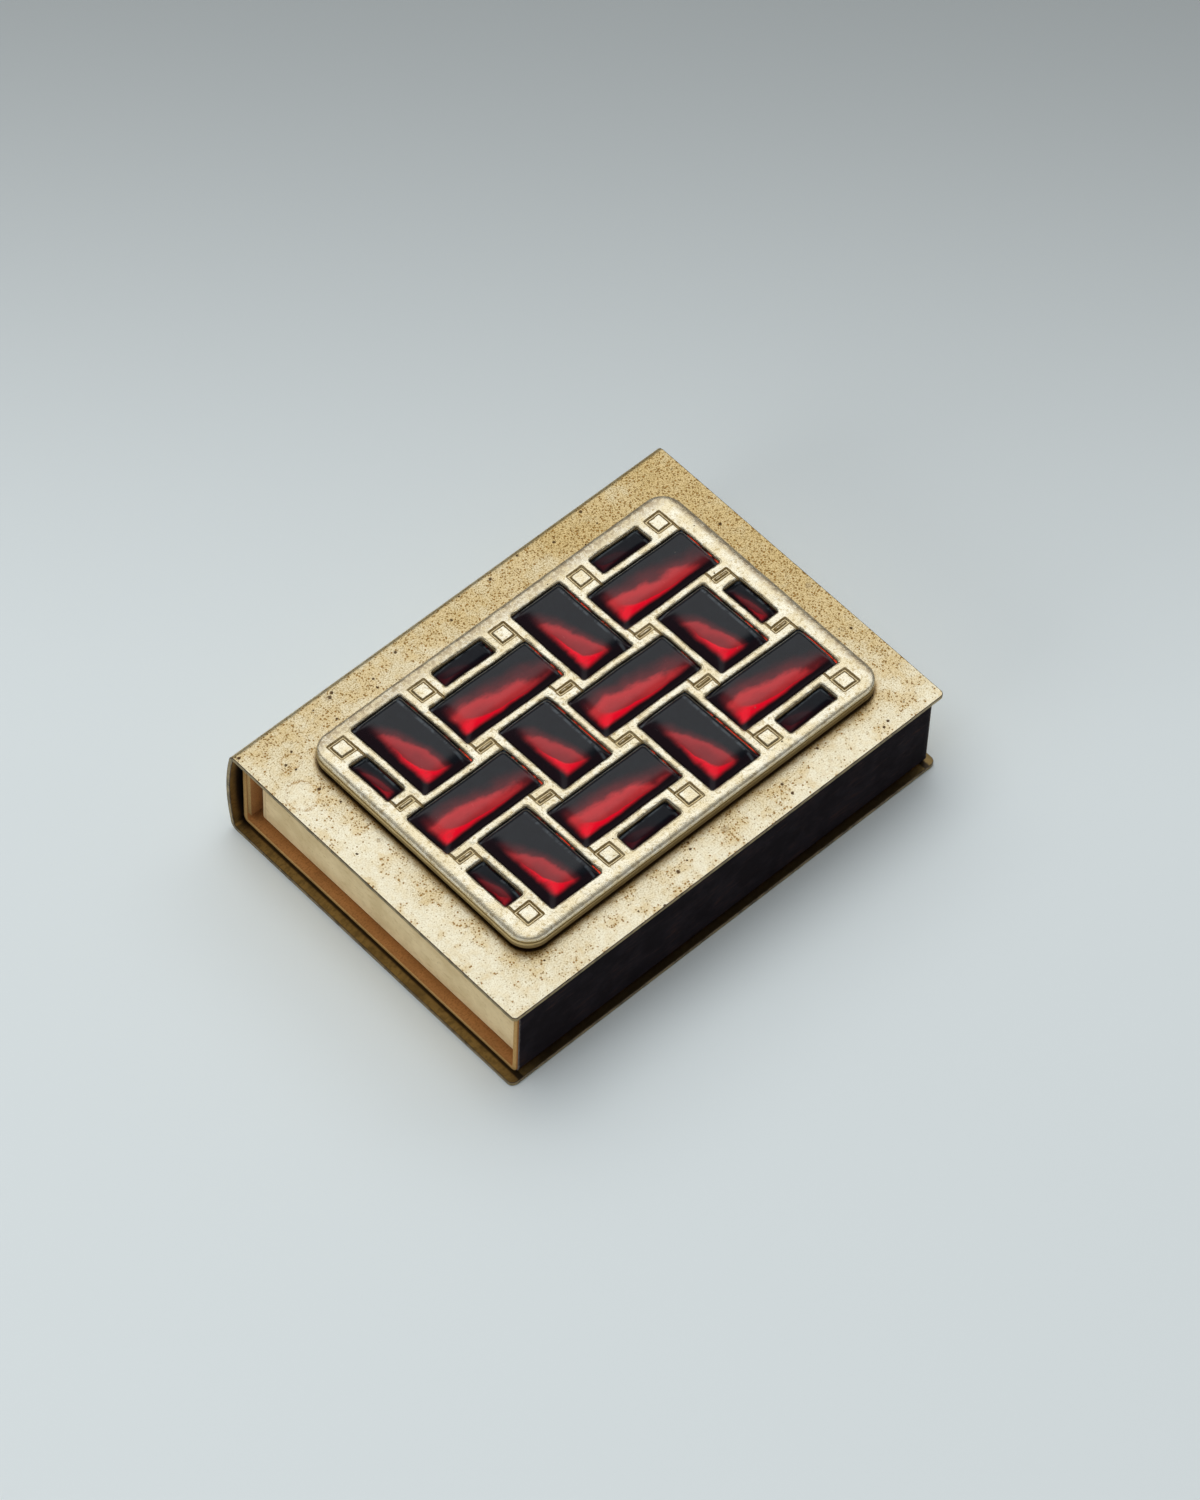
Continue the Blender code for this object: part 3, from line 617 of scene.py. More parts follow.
def inner_brass(settings):
    """Dull golden brown with a fine grain, and painted shade: dark in the folds behind the
    matchbox, in a line beside each end of the sleeve and under the matchbox's -Y side.
    """
    material, coords, shader = new_material("inner_brass")
    grain = cloud(stretched(coords, (0.6, 1.0, 1.0)), 0.32 * MM, 4.0, 0.65)
    stain = cloud(coords, 2.4 * MM, 3.0, 0.55)
    dark = scaled(settings.inner, 0.50)
    tone = blend(ramp(stain, 0.42, 0.70, 0.0, 0.6), settings.inner, dark)
    tone = blend(ramp(grain, 0.42, 0.64, 0.0, 0.7), tone, dark)
    x, y, _z = coords.parts()
    depth = abs(x)
    # Painted shade: near-black in the spine's fold behind the matchbox, a painted shadow line
    # beside each end of the sleeve, and painted shadow under the matchbox's -Y side.
    behind = ramp(y, 17.0 * MM, 18.2 * MM) * ramp(depth, 27.25 * MM, 26.4 * MM)
    behind = behind * ramp(depth, 22.5 * MM, 25.5 * MM, 0.35, 1.0)
    seam = ramp(abs(depth - 26.3 * MM), 0.42 * MM, 0.20 * MM, 0.0, 0.9)
    under = ramp(y, -18.6 * MM, -19.2 * MM, 0.0, 0.80) * ramp(depth, 27.4 * MM, 22.5 * MM)
    tone = blend(highest(behind, seam, under), tone, (0.020, 0.012, 0.007))
    feed(shader, Base_Color=tone, Roughness=0.40, Metallic=0.65,
         Normal=bump(grain, 0.5, 0.03 * MM))
    return material


def plain_brass(name, tint, roughness):
    """Brass of one tone with a fine unevenness, for the sheet's cut edges and their breaks."""
    material, coords, shader = new_material(name)
    patches = cloud(coords, 0.9 * MM, 4.0, 0.7)
    tone = blend(ramp(patches, 0.42, 0.66), tint, scaled(tint, 0.4))
    relief = bump(cloud(coords, 0.2 * MM, 2.0, 0.7), 0.5, 0.02 * MM)
    feed(shader, Base_Color=tone, Roughness=roughness, Metallic=0.9, Normal=relief)
    return material


class MATCHCASE_OT_cover(bpy.types.Operator):
    """Folds the brass sheet: top plate, bulged spine and bottom plate"""
    bl_idname = "matchcase.cover"
    bl_label = "Brass Cover"

    def execute(self, context):
        settings = context.scene.match_case.cover
        low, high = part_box("brass_cover")
        bm = swept_sheet(cover_path(low, high, settings), low.x, high.x)
        if max(bm.faces, key=lambda face: face.calc_center_median().z).normal.z < 0:
            bmesh.ops.reverse_faces(bm, faces=bm.faces)
        round_free_corners(bm, high.z, settings.top_corner)
        round_free_corners(bm, low.z, settings.bottom_corner)
        materials = [
            outer_brass(settings),
            inner_brass(settings),
            plain_brass("cut_brass", settings.cut, 0.4),
            plain_brass("burr_brass", settings.burr, 0.5),
        ]
        piece = finish_piece(bm, "folded_cover", materials, "cover", ["brass_cover"], 35)
        add_wall(piece, settings.sheet, 1, 2)
        edge = piece.modifiers.new("edge", "BEVEL")
        edge.width = settings.edge_break
        edge.segments = 2
        edge.limit_method = "ANGLE"
        edge.angle_limit = math.radians(60)
        edge.material = len(materials) - 1
        edge.harden_normals = True
        return {"FINISHED"}


# Plaque

# Tones of the casting's fine and coarse hollows, and of its grooves' floors and edges.
FINE_HOLLOW = (0.52, 0.38, 0.17)
COARSE_HOLLOW = (0.46, 0.33, 0.14)
GROOVE_FLOOR = (0.60, 0.44, 0.19)
GROOVE_EDGE = (0.36, 0.24, 0.085)


def pocket_boxes(settings):
    """Each pocket as (low x, high x, low y, high y), from the enamel that fills it."""
    gap = settings.cell_gap
    boxes = [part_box(name) for nodes in ENAMEL_NODES.values() for name in nodes]
    return [(low.x - gap, high.x + gap, low.y - gap, high.y + gap) for low, high in boxes]


def pad_boxes(settings, field):
    """The grooved pads between the cells, the outer ones drawn out to the field's edge."""
    middle_x, middle_y = (field[0] + field[1]) / 2, (field[2] + field[3]) / 2
    boxes = []
    for row in range(-2, 2):
        for column in range(-2, 3):
            x = middle_x + column * settings.column_pitch
            y = middle_y + (row + 0.5) * settings.row_pitch
            low_y = field[2] if row == -2 else y - settings.pad_half_y
            high_y = field[3] if row == 1 else y + settings.pad_half_y
            boxes.append((x - settings.pad_half_x, x + settings.pad_half_x, low_y, high_y))
    return boxes


def joint_boxes(settings, pads, field):
    """Short grooves that run on from a pad's corners across the ribs, as where straps meet."""
    width = settings.groove * 0.6
    joints = []
    for low_x, high_x, low_y, high_y in pads:
        if high_y < field[3] - settings.rib:
            joints.append((low_x, low_x + width, high_y, high_y + settings.rib))
        if low_y > field[2] + settings.rib:
            joints.append((high_x - width, high_x, low_y - settings.rib, low_y))
    return joints


def box_distance(x, y, box, radius):
    """Distance of a point from a rectangle with rounded corners, below zero inside."""
    over_x = max(box[0] - x, x - box[1]) + radius
    over_y = max(box[2] - y, y - box[3]) + radius
    outside = math.hypot(max(over_x, 0.0), max(over_y, 0.0))
    return outside + min(max(over_x, over_y), 0.0) - radius


def grid_lines(low, high, pockets, pads, settings):
    """Places of the grid's lines: close together at edges, filled up evenly between them.

    Pockets and pads are given as their (low, high) edges in the grid's direction.
    """
    closest, widest = 0.025 * MM, 0.26 * MM
    lines = {low, high}
    for edges, width, offset_shares in (
            (pockets, settings.rib_round, (-1.0, -0.72, -0.46, -0.24, -0.08, 0.0, 0.12, 0.24)),
            (pads, settings.groove, (-0.5, 0.0, 0.25, 0.5, 0.75, 1.0, 1.4))):
        for pair in edges:
            for edge, inward in zip(pair, (1, -1)):
                lines |= {edge + inward * offset * width for offset in offset_shares}
    ordered = []
    for line in sorted(line for line in lines if low <= line <= high):
        if not ordered or line - ordered[-1] > closest:
            ordered.append(line)
    ordered[-1] = high
    filled = []
    for here, ahead in zip(ordered, ordered[1:]):
        parts = max(1, math.ceil((ahead - here) / widest))
        filled += [here + (ahead - here) * part / parts for part in range(parts)]
    return filled + [high]


def plaque_height(x, y, pockets, pads, joints, settings):
    """Depth below the plaque's top, and distances from the pockets and into the grooved boxes."""
    nearest = min(box_distance(x, y, box, settings.pocket_corner) for box in pockets)
    in_pad = max(-box_distance(x, y, box, 0.1 * MM) for box in pads)
    in_joint = max(-box_distance(x, y, box, 0.0) for box in joints)
    distances = (nearest, in_pad, in_joint)
    wall, pad_drop, joint_drop = 0.1 * settings.rib_round, 0.03 * MM, 0.07 * MM
    if nearest < -wall:
        return settings.pocket_depth, distances
    if nearest < 0.0:
        below = (settings.pocket_depth - settings.rib_drop) * -nearest / wall
        return settings.rib_drop + below, distances
    drop = 0.0
    if nearest < settings.rib_round:
        rest = 1.0 - nearest / settings.rib_round
        drop = settings.rib_drop * (1.0 - math.sqrt(1.0 - rest * rest))
    if 0.0 <= in_pad < settings.groove:
        across = 2.0 * in_pad / settings.groove - 1.0
        drop = max(drop, settings.groove_depth * math.sqrt(1.0 - across * across) + pad_drop)
    elif in_pad >= settings.groove:
        drop = max(drop, pad_drop)
    if in_joint >= 0.0:
        drop += joint_drop
    return drop, distances


def build_plaque_mesh(settings):
    low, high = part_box("cast_plaque")
    pockets = pocket_boxes(settings)
    field = (min(box[0] for box in pockets), max(box[1] for box in pockets),
             min(box[2] for box in pockets), max(box[3] for box in pockets))
    pads = pad_boxes(settings, field)
    joints = joint_boxes(settings, pads, field)
    margin = 0.45 * MM
    limits = (field[0] - margin, field[1] + margin, field[2] - margin, field[3] + margin)
    xs, ys = (
        grid_lines(limits[axis], limits[axis + 1], [box[axis:axis + 2] for box in pockets],
                   [box[axis:axis + 2] for box in pads], settings)
        for axis in (0, 2))
    bm = bmesh.new()
    layers = {
        "patina_and_rim_shade": bm.verts.layers.float.new("patina_and_rim_shade"),
        "marks": bm.verts.layers.float_vector.new("marks"),
        "square": bm.verts.layers.float_vector.new("square"),
    }
    bmesh.ops.create_grid(bm, x_segments=len(xs) - 1, y_segments=len(ys) - 1, size=1.0)
    middle = Vector(((limits[0] + limits[1]) / 2, (limits[2] + limits[3]) / 2))
    half_x, half_y = (limits[1] - limits[0]) / 2, (limits[3] - limits[2]) / 2
    for vert in bm.verts:
        x = xs[round((vert.co.x + 1) / 2 * (len(xs) - 1))]
        y = ys[round((vert.co.y + 1) / 2 * (len(ys) - 1))]
        drop, distances = plaque_height(x, y, pockets, pads, joints, settings)
        vert.co = (x, y, high.z - drop)
        vert[layers["patina_and_rim_shade"]] = 1.0 if distances[0] < 0.0 else 0.0
        vert[layers["marks"]] = [distance / MM for distance in distances]
        vert[layers["square"]] = ((x - middle.x) / half_x, (y - middle.y) / half_y, 0.0)
    add_rim(bm, layers, low, high, middle, (half_x, half_y), settings)
    roughen(bm, low, high, settings.corner)
    bmesh.ops.recalc_face_normals(bm, faces=bm.faces)
    return bm


def add_rim(bm, layers, low, high, inner_middle, inner, settings):
    """Rings of faces from the field's border over the rounded rim and down to the underside, each
    with its painted shade, which grows over the rim and down the wall.
    """
    flat_steps, round_steps, wall_steps = 3, 8, 12
    # Painted shade over the rim's rounding and down the wall, darkest at the foot.
    rim_painted_shade, foot_painted_shade = 0.24, 0.70
    outer_middle = ((low + high) / 2).xy
    outer = ((high.x - low.x) / 2, (high.y - low.y) / 2)
    reach = outer[0] - inner[0]
    flat_end = reach - settings.edge_round
    wall_top = high.z - settings.edge_drop
    rings = [(flat_end * step / flat_steps, high.z, 0.0) for step in range(1, flat_steps + 1)]
    for step in range(1, round_steps + 1):
        turn = math.pi / 2 * step / round_steps
        rings.append((flat_end + settings.edge_round * math.sin(turn),
                      high.z - settings.edge_drop * (1 - math.cos(turn)),
                      rim_painted_shade * (step / round_steps) ** 2))
    for step in range(1, wall_steps + 1):
        down = step / wall_steps
        rings.append((reach, wall_top + (low.z - wall_top) * down,
                      rim_painted_shade + (foot_painted_shade - rim_painted_shade) * down))
    edges = border_edges(bm)
    for offset, z, patina_and_shade in rings:
        moved, edges = draw_out(bm, edges)
        middle = inner_middle.lerp(outer_middle, offset / reach)
        place_ring(moved, layers, middle, inner, outer, offset / reach, z, patina_and_shade, settings)
    bmesh.ops.contextual_create(bm, geom=edges)


def place_ring(verts, layers, middle, inner, outer, grown, z, patina_and_shade, settings):
    """Lays one ring of the rim on its own rounded outline and stores its painted shade."""
    half_x, half_y = (start + (end - start) * grown for start, end in zip(inner, outer))
    radius = max(settings.corner * grown, 0.02 * MM)
    for vert in verts:
        square = vert[layers["square"]]
        x, y = rounded(square.x * half_x, square.y * half_y, half_x, half_y, radius)
        vert.co = (middle.x + x, middle.y + y, z)
        vert[layers["patina_and_rim_shade"]] = patina_and_shade


def flash_ridge(x, middle_x, half_x, level):
    """The casting's seam: a ridge and a hollow in the wall, strongest at the near end."""
    near = held((-(x - middle_x) / half_x - 0.55) / 0.4)
    ridge = math.exp(-((level - 0.46) / 0.08) ** 2)
    hollow = math.exp(-((level - 0.26) / 0.10) ** 2)
    return (0.35 + 0.65 * near) * (0.10 * ridge - 0.12 * hollow) * MM


def inside_outline(x, y, low, high, radius):
    """Distance inside the plaque's rounded outline, and the direction that leads out of it."""
    away = Vector((x - (low.x + high.x) / 2, y - (low.y + high.y) / 2))
    over_x = abs(away.x) - (high.x - low.x) / 2 + radius
    over_y = abs(away.y) - (high.y - low.y) / 2 + radius
    over = Vector((max(over_x, 0.0), max(over_y, 0.0)))
    inside = radius - over.length - min(max(over_x, over_y), 0.0)
    if over.length == 0.0:
        over = Vector((1.0, 0.0)) if over_x > over_y else Vector((0.0, 1.0))
    out = Vector((math.copysign(over.x, away.x), math.copysign(over.y, away.y)))
    return inside, out.normalized()


def roughen(bm, low, high, corner):
    """Casting roughness and sway, fading out towards the underside."""
    middle_x, half_x = (low.x + high.x) / 2, (high.x - low.x) / 2
    for vert in bm.verts:
        x, y, z = vert.co
        level = (z - low.z) / (high.z - low.z)
        inside, out = inside_outline(x, y, low, high, corner)
        off = sway(x, y) * held(inside / (1.2 * MM))
        if 0.02 < level < 0.98:
            side = 1.0 - held(inside / (0.35 * MM))
            off += out * (flash_ridge(x, middle_x, half_x, level) * side)
        if level > 0.05:
            lump = 0.024 * lumps(x, y, 0.55 * MM, 3.7) + 0.030 * lumps(x, y, 1.9 * MM, 8.1)
            z = min(high.z, z + (lump - 0.034) * MM * min(1.0, level * 1.6))
        vert.co = (x + off.x, y + off.y, z)


def groove_lines(depth_in, width, reach, wobble):
    """Two thin lines, at a groove's outer and inner edge."""
    place = depth_in + wobble
    return highest(*(ramp(abs(place - centre), reach, reach * 0.3) for centre in (0.0, width)))


def far_rim_shade(coords, coarse):
    """Painted shade on the rounded rim at +X and +Y, which turns away from the light."""
    x, y, _z = coords.parts()
    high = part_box("cast_plaque")[1]
    far_x = ramp(x, high.x - 1.25 * MM, high.x - 0.60 * MM)
    far_y = ramp(y, high.y - 1.90 * MM, high.y - 0.60 * MM)
    return highest(far_x, far_y) * ramp(coarse, 0.42, 0.56, 0.25, 0.95)


def cast_metal(settings):
    """Pale metal with a hammered skin, brown lines at its grooves and edges, and a darker wall,
    with painted shade on the rounded rim and at the wall's foot.
    """
    material, coords, shader = new_material("cast_metal")
    patina_and_rim_shade = stored(coords.tree, "patina_and_rim_shade", "Fac")
    wall, in_pad, in_joint = stored(coords.tree, "marks").parts()
    fine = cloud(coords, 0.12 * MM, 3.0, 0.65)
    coarse = cloud(coords, 0.42 * MM, 3.0, 0.6)
    broad = cloud(coords, 2.2 * MM, 3.0, 0.6)
    base = blend(ramp(broad, 0.36, 0.62), settings.metal, settings.warm)
    base = blend(ramp(fine, 0.51, 0.35, 0.0, 0.52), base, FINE_HOLLOW)
    base = blend(ramp(coarse, 0.46, 0.33, 0.0, 0.62), base, COARSE_HOLLOW)
    # Painted shade on the far rims.
    base = blend(far_rim_shade(coords, coarse), base, settings.painted_rim_shade)

    # Height on the plaque: 0 at its underside, 1 at its top.
    low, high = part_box("cast_plaque")
    _x, _y, z = coords.parts()
    level = coarse * 0.10 + (z - low.z) / (high.z - low.z)
    base = blend(ramp(level, 0.86, 0.72, 0.0, 0.9), base, settings.gold)
    wobble = coarse * 0.16 - 0.08
    floor = abs(in_pad + (wobble - 0.15))
    base = blend(ramp(floor, 0.24, 0.12, 0.0, 0.60), base, GROOVE_FLOOR)

    edge = ramp(wall + wobble, 0.19, 0.03, 0.0, 0.85)
    lip = ramp(abs(wobble * 0.7 + (wall - 0.27)), 0.060, 0.015, 0.0, 0.50)
    lip = lip * ramp(broad, 0.48, 0.54)
    pad = groove_lines(in_pad, 0.28, 0.13, wobble) * ramp(broad, 0.62, 0.40, 0.55, 1.0)
    joint = groove_lines(in_joint, 0.09, 0.09, wobble) * 0.9
    above = ramp(abs(level - 0.68), 0.085, 0.03, 0.0, 0.85)
    # Painted shade on the lower part of the wall.
    below = ramp(level, 0.42, 0.34, 0.0, 0.75)
    pinholes = spots(coords, 0.8 * MM, 0.12, 0.30) * 0.9
    stains_and_shade = highest(edge, lip, pad, joint, above, below, patina_and_rim_shade, pinholes)
    brown = blend(highest(pad, joint), settings.patina_and_shade, GROOVE_EDGE)
    rim = ramp(plaque_distance(coords), -0.68 * MM, -0.44 * MM, 1.0, 0.70)
    feed(shader, Base_Color=blend(stains_and_shade, base, brown),
         Roughness=ramp(stains_and_shade, 0.0, 1.0, 0.24, 0.50),
         Metallic=lowest(ramp(level, 0.90, 0.60, 1.0, 0.60), rim),
         Normal=bump(coarse + fine * 0.40 - pinholes * 0.5, 0.75, 0.05 * MM))
    return material


def bond_layer():
    material, coords, shader = new_material("bond_layer")
    patches = cloud(coords, 0.6 * MM, 3.0, 0.6)
    tone = blend(patches, (0.030, 0.022, 0.014), (0.012, 0.009, 0.006))
    feed(shader, Base_Color=tone, Roughness=0.75, Normal=bump(patches, 0.4, 0.03 * MM))
    return material


class MATCHCASE_OT_plaque(bpy.types.Operator):
    """Casts the plaque: ribs, pockets, grooved pads and the rounded rim"""
    bl_idname = "matchcase.plaque"
    bl_label = "Cast Plaque"

    def execute(self, context):
        settings = context.scene.match_case.plaque
        finish_piece(build_plaque_mesh(settings), "plaque_casting", [cast_metal(settings)],
                     "cover", ["cast_plaque"], 60)
        bond = bond_layer()
        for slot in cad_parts["plaque_bond"].material_slots:
            slot.material = bond
        return {"FINISHED"}


# Enamel

# How the red and its painted light lie in each kind of cell: painted shade beside the near walls,
# a painted glow through the body and in the corner, a painted lit line at the +X wall and a
# painted highlight line. Distances from the walls are in millimetres.
ZONES = {
    "long": {"near_shade_x": (0.15, 1.00), "near_shade_y": (0.45, 0.92), "reach_share": (0.92, 0.62),
             "lean_share": 0.0, "bend": 1.6, "heart": (0.45, 0.55), "wedge": 1.5,
             "run_x_share": (0.58, 0.90), "run_y_share": (0.22, 0.46), "glow": 0.90,
             "painted_ember": 1.15, "wall": 0.90, "painted_highlight": (0.40, 0.22), "ior": 1.39},
    "cross": {"near_shade_x": (0.60, 1.45), "near_shade_y": (0.45, 1.05), "reach_share": (0.62, 0.80),
              "lean_share": 0.22, "bend": 3.0, "heart": (1.05, 0.60), "wedge": 0.88,
              "run_x_share": (0.38, 0.72), "run_y_share": (0.32, 0.68), "glow": 0.68,
              "painted_ember": 1.05, "wall": 0.95, "painted_highlight": (0.80, 0.25), "ior": 1.39},
    "edge": {"near_shade_x": (0.10, 0.40), "near_shade_y": (0.15, 0.60), "reach_share": (0.56, 0.80),
             "lean_share": 0.0, "bend": 2.0, "heart": (0.15, 0.30), "wedge": 0.30,
             "run_x_share": (0.25, 0.55), "run_y_share": (0.30, 0.75), "glow": 0.24,
             "painted_ember": 0.30, "wall": 0.10, "painted_highlight": (0.30, 0.20), "ior": 1.22},
}


def pillow_mesh(low, high, gap, top, crown, settings, strength):
    """A pillow of enamel in its pocket, with its distances to the walls stored in millimetres."""
    bm = bmesh.new()
    from_low = bm.verts.layers.float_vector.new("from_low")
    from_high = bm.verts.layers.float_vector.new("from_high")
    columns, rows, corner = 56, 40, 0.15 * MM
    bmesh.ops.create_grid(bm, x_segments=columns, y_segments=rows, size=1.0)
    middle = ((low + high) / 2).xy
    half = ((high - low) / 2).xy + Vector((gap, gap))
    for vert in bm.verts:
        u, v = (crowd(value) for value in vert.co.xy)
        x, y = rounded(u * half.x, v * half.y, half.x, half.y, corner)
        vert[from_low] = ((x + half.x) / MM, (y + half.y) / MM, strength)
        vert[from_high] = ((half.x - x) / MM, (half.y - y) / MM, 0.0)
        place = middle + Vector((x, y))
        place += sway(*place)
        vert.co = (*place, pillow_height(x, y, half, top, crown, settings))
    skirt, edges = draw_out(bm, border_edges(bm))
    for vert in skirt:
        vert.co.z = low.z
    bmesh.ops.contextual_create(bm, geom=edges)
    bmesh.ops.recalc_face_normals(bm, faces=bm.faces)
    return bm


def shoulder(room, width, power):
    """Rise of the pillow beside a wall: 0 at the wall, 1 from the given width on."""
    return 1.0 - (1.0 - held(room / width)) ** power


def pillow_height(x, y, half, top, crown, settings):
    """A flat crown with a broad shoulder at -X and -Y, a narrow one at +X and +Y, and a lip."""
    hollow, lip_width = top - settings.valley, 0.06 * MM
    body = 1.0
    for place, reach in ((x, half.x), (y, half.y)):
        near = min(settings.near_shoulder, reach * 0.8)
        far = min(settings.far_shoulder, reach * 0.4)
        body *= shoulder(reach + place, near, settings.roundness)
        body *= shoulder(reach - place, far, settings.roundness)
    wall = min(half.x - abs(x), half.y - abs(y)) / lip_width
    lip = hollow + max(0.0, 1.0 - wall) * (settings.valley - settings.lip)
    return max(lip, hollow + (top + crown - hollow) * body)


def crowd(value):
    """Draws evenly spaced places towards both ends of their range."""
    return 1.5 * value - 0.5 * value ** 3


def painted_glow_body(u, v, streaks, drift, zones):
    """Painted glow through the red body: a clear border where it ends, with a dim haze beyond it.
    """
    far_u, far_v = zones["reach_share"]
    leant = v * zones["lean_share"] + u
    spread = (leant / far_u) ** zones["bend"] + (v / far_v) ** zones["bend"]
    spread = spread + streaks * 0.40 + drift * 0.70 - 0.55
    clear = ramp(spread, 0.80, 1.12, 0.62, 0.0)
    haze = ramp(spread, 0.60, 2.00, 1.0, 0.0) ** 1.6
    return (haze * 0.34 + clear) * ramp(spread, 0.20, 0.90, 0.60, 1.0)


def painted_ember_wedge(near_x, near_y, u, v, zones):
    """Painted glow in the corner: the clear red drawn out along both walls."""
    heart_x, heart_y = zones["heart"]
    corner = highest(near_x - heart_x, 0.0) * highest(near_y - heart_y, 0.0)
    wedge = ramp(corner, zones["wedge"] * 1.25, zones["wedge"] * 0.80)
    return (wedge * ramp(u, *zones["run_x_share"], 1.0, 0.0)
            * ramp(v, *zones["run_y_share"], 1.0, 0.0))


def red_enamel(name, settings, zones):
    """Deep enamel with painted light: painted shade at its walls, a painted glow through its body
    from the corner nearest -X and -Y, a painted lit line at the +X wall and a painted highlight
    line.
    """
    material, coords, shader = new_material(name)
    low_x, low_y, strength = stored(coords.tree, "from_low").parts()
    high_x, high_y, _unused = stored(coords.tree, "from_high").parts()
    streaks = cloud(stretched(coords, (0.6, 1.2, 0.2), 0.6), 0.8 * MM, 4.0, 0.6)
    drift = cloud(coords, 3.0 * MM, 1.0)
    ripple = drift * 0.60 + streaks * 0.30 - 0.45
    near_x, near_y = low_x + ripple, ripple * 0.5 + low_y
    u, v = low_x / (low_x + high_x), low_y / (low_y + high_y)
    # Painted shade: dark enamel beside the -X and -Y walls, where the painted glow also fades.
    walls = ramp(near_x, *zones["near_shade_x"]) * ramp(near_y, *zones["near_shade_y"])
    lit = walls ** 1.4
    painted_glow = painted_glow_body(u, v, streaks, drift, zones) * lit * (strength * zones["glow"])
    painted_ember = painted_ember_wedge(near_x, near_y, u, v, zones) * lit * (strength * zones["painted_ember"])
    painted_ember = painted_ember * ramp(streaks, 0.30, 0.46, 0.75, 1.0)
    lit_wall = ramp(high_x, 0.17, 0.09) * ramp(streaks, 0.38, 0.52, 0.0, zones["wall"])
    lit_wall = lit_wall * ramp(v, 0.95, 0.70) * ramp(drift, 0.38, 0.50)
    # A painted highlight line just inside the +X and +Y walls, where the pillow's shoulder turns.
    highlight_x, highlight_y = zones["painted_highlight"]
    painted_highlight = ripple * 0.15 + lowest(abs(high_x - highlight_x), abs(high_y - highlight_y))
    painted_highlight = ramp(painted_highlight, 0.24, 0.02) * ramp(streaks, 0.40, 0.60, 0.02, 0.36)
    # Bluish patches in the dark enamel: partly its milkiness, partly a painted sheen.
    milky_and_painted_sheen = ramp(cloud(coords, 0.9 * MM, 4.0, 0.65), 0.40, 0.70, 0.0, 0.5)
    dust = spots(coords, 1.7 * MM, 0.05, 0.22)
    scuffs = cloud(stretched(coords, (1.0, 0.25, 1.0), 0.5), 0.22 * MM, 3.0, 0.7)

    inner = blend(milky_and_painted_sheen, settings.dark, (0.008, 0.011, 0.015))
    tone = blend(walls, settings.border, inner)
    tone = blend(painted_glow, tone, settings.painted_glow)
    tone = blend(painted_ember, tone, settings.painted_ember)
    tone = blend(lit_wall, tone, settings.rim)
    tone = blend(painted_highlight, tone, (0.15, 0.18, 0.20))
    tone = blend(dust * 0.30, tone, (0.20, 0.16, 0.13))
    relief = bump(cloud(coords, 2.2 * MM, 2.0, 0.5), 0.12, 0.10 * MM)
    feed(shader, Base_Color=tone, Roughness=ramp(scuffs, 0.60, 0.80, 0.19, 0.39),
         IOR=zones["ior"], Normal=bump(dust, 0.4, 0.03 * MM, relief))
    return material


class MATCHCASE_OT_enamel(bpy.types.Operator):
    """Fills every pocket of the plaque with a pillow of red enamel"""
    bl_idname = "matchcase.enamel"
    bl_label = "Enamel"

    def execute(self, context):
        settings = context.scene.match_case.enamel
        clearance, edge_crown, dim_share = 0.01 * MM, 0.06 * MM, 0.15
        gap = context.scene.match_case.plaque.cell_gap - clearance
        plaque_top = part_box("cast_plaque")[1].z
        for kind, nodes in ENAMEL_NODES.items():
            material = red_enamel(f"enamel_{kind}", settings, ZONES[kind])
            edge = kind == "edge"
            for place, name in enumerate(nodes, 1):
                low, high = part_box(name)
                top = plaque_top - settings.edge_depth if edge else plaque_top
                crown = edge_crown if edge else high.z - plaque_top
                # Strength of each cell's painted glow; the edge cells that run along X get only a
                # dim share.
                strength = 0.86 + 0.22 * abs(lumps(low.x * 9, low.y * 9, 6 * MM, place * 1.7))
                if edge and high.x - low.x > high.y - low.y:
                    strength *= dim_share
                bm = pillow_mesh(low, high, gap, top, crown, settings, strength)
                finish_piece(bm, f"pillow_{kind}_{place:02d}", [material], "cover", [name],
                             60)
        return {"FINISHED"}


# Matchbox


def sleeve_path(low, high, settings):
    flap = high.y - settings.card - settings.slit
    corners = [
        (high.y, high.z - settings.ply_drop),
        (high.y, low.z),
        (low.y, low.z),
        (low.y, high.z),
        (flap, high.z),
        (flap, low.z + settings.card + settings.flap_gap),
    ]
    return folded_path(corners, settings.fold_radius, 6)


def card_face(name, tint, spread):
    """Grey-board fibres: short streaks along the grain, stains and a soft tooth."""
    material, coords, shader = new_material(name)
    fibres = cloud(stretched(coords, (0.7, 1.0, 1.0)), 0.16 * MM, 4.0, 0.7)
    stains = cloud(coords, 5.0 * MM, 3.0, 0.6)
    tone = blend(ramp(stains, 0.36, 0.66), scaled(tint, 1.0 + spread * 0.5), tint)
    tone = blend(ramp(fibres, 0.44, 0.72, 0.0, 0.8), tone, scaled(tint, 1.0 - spread))
    feed(shader, Base_Color=tone, Roughness=0.88, Specular_IOR_Level=0.25,
         Normal=bump(fibres, 0.5, 0.04 * MM))
    return material


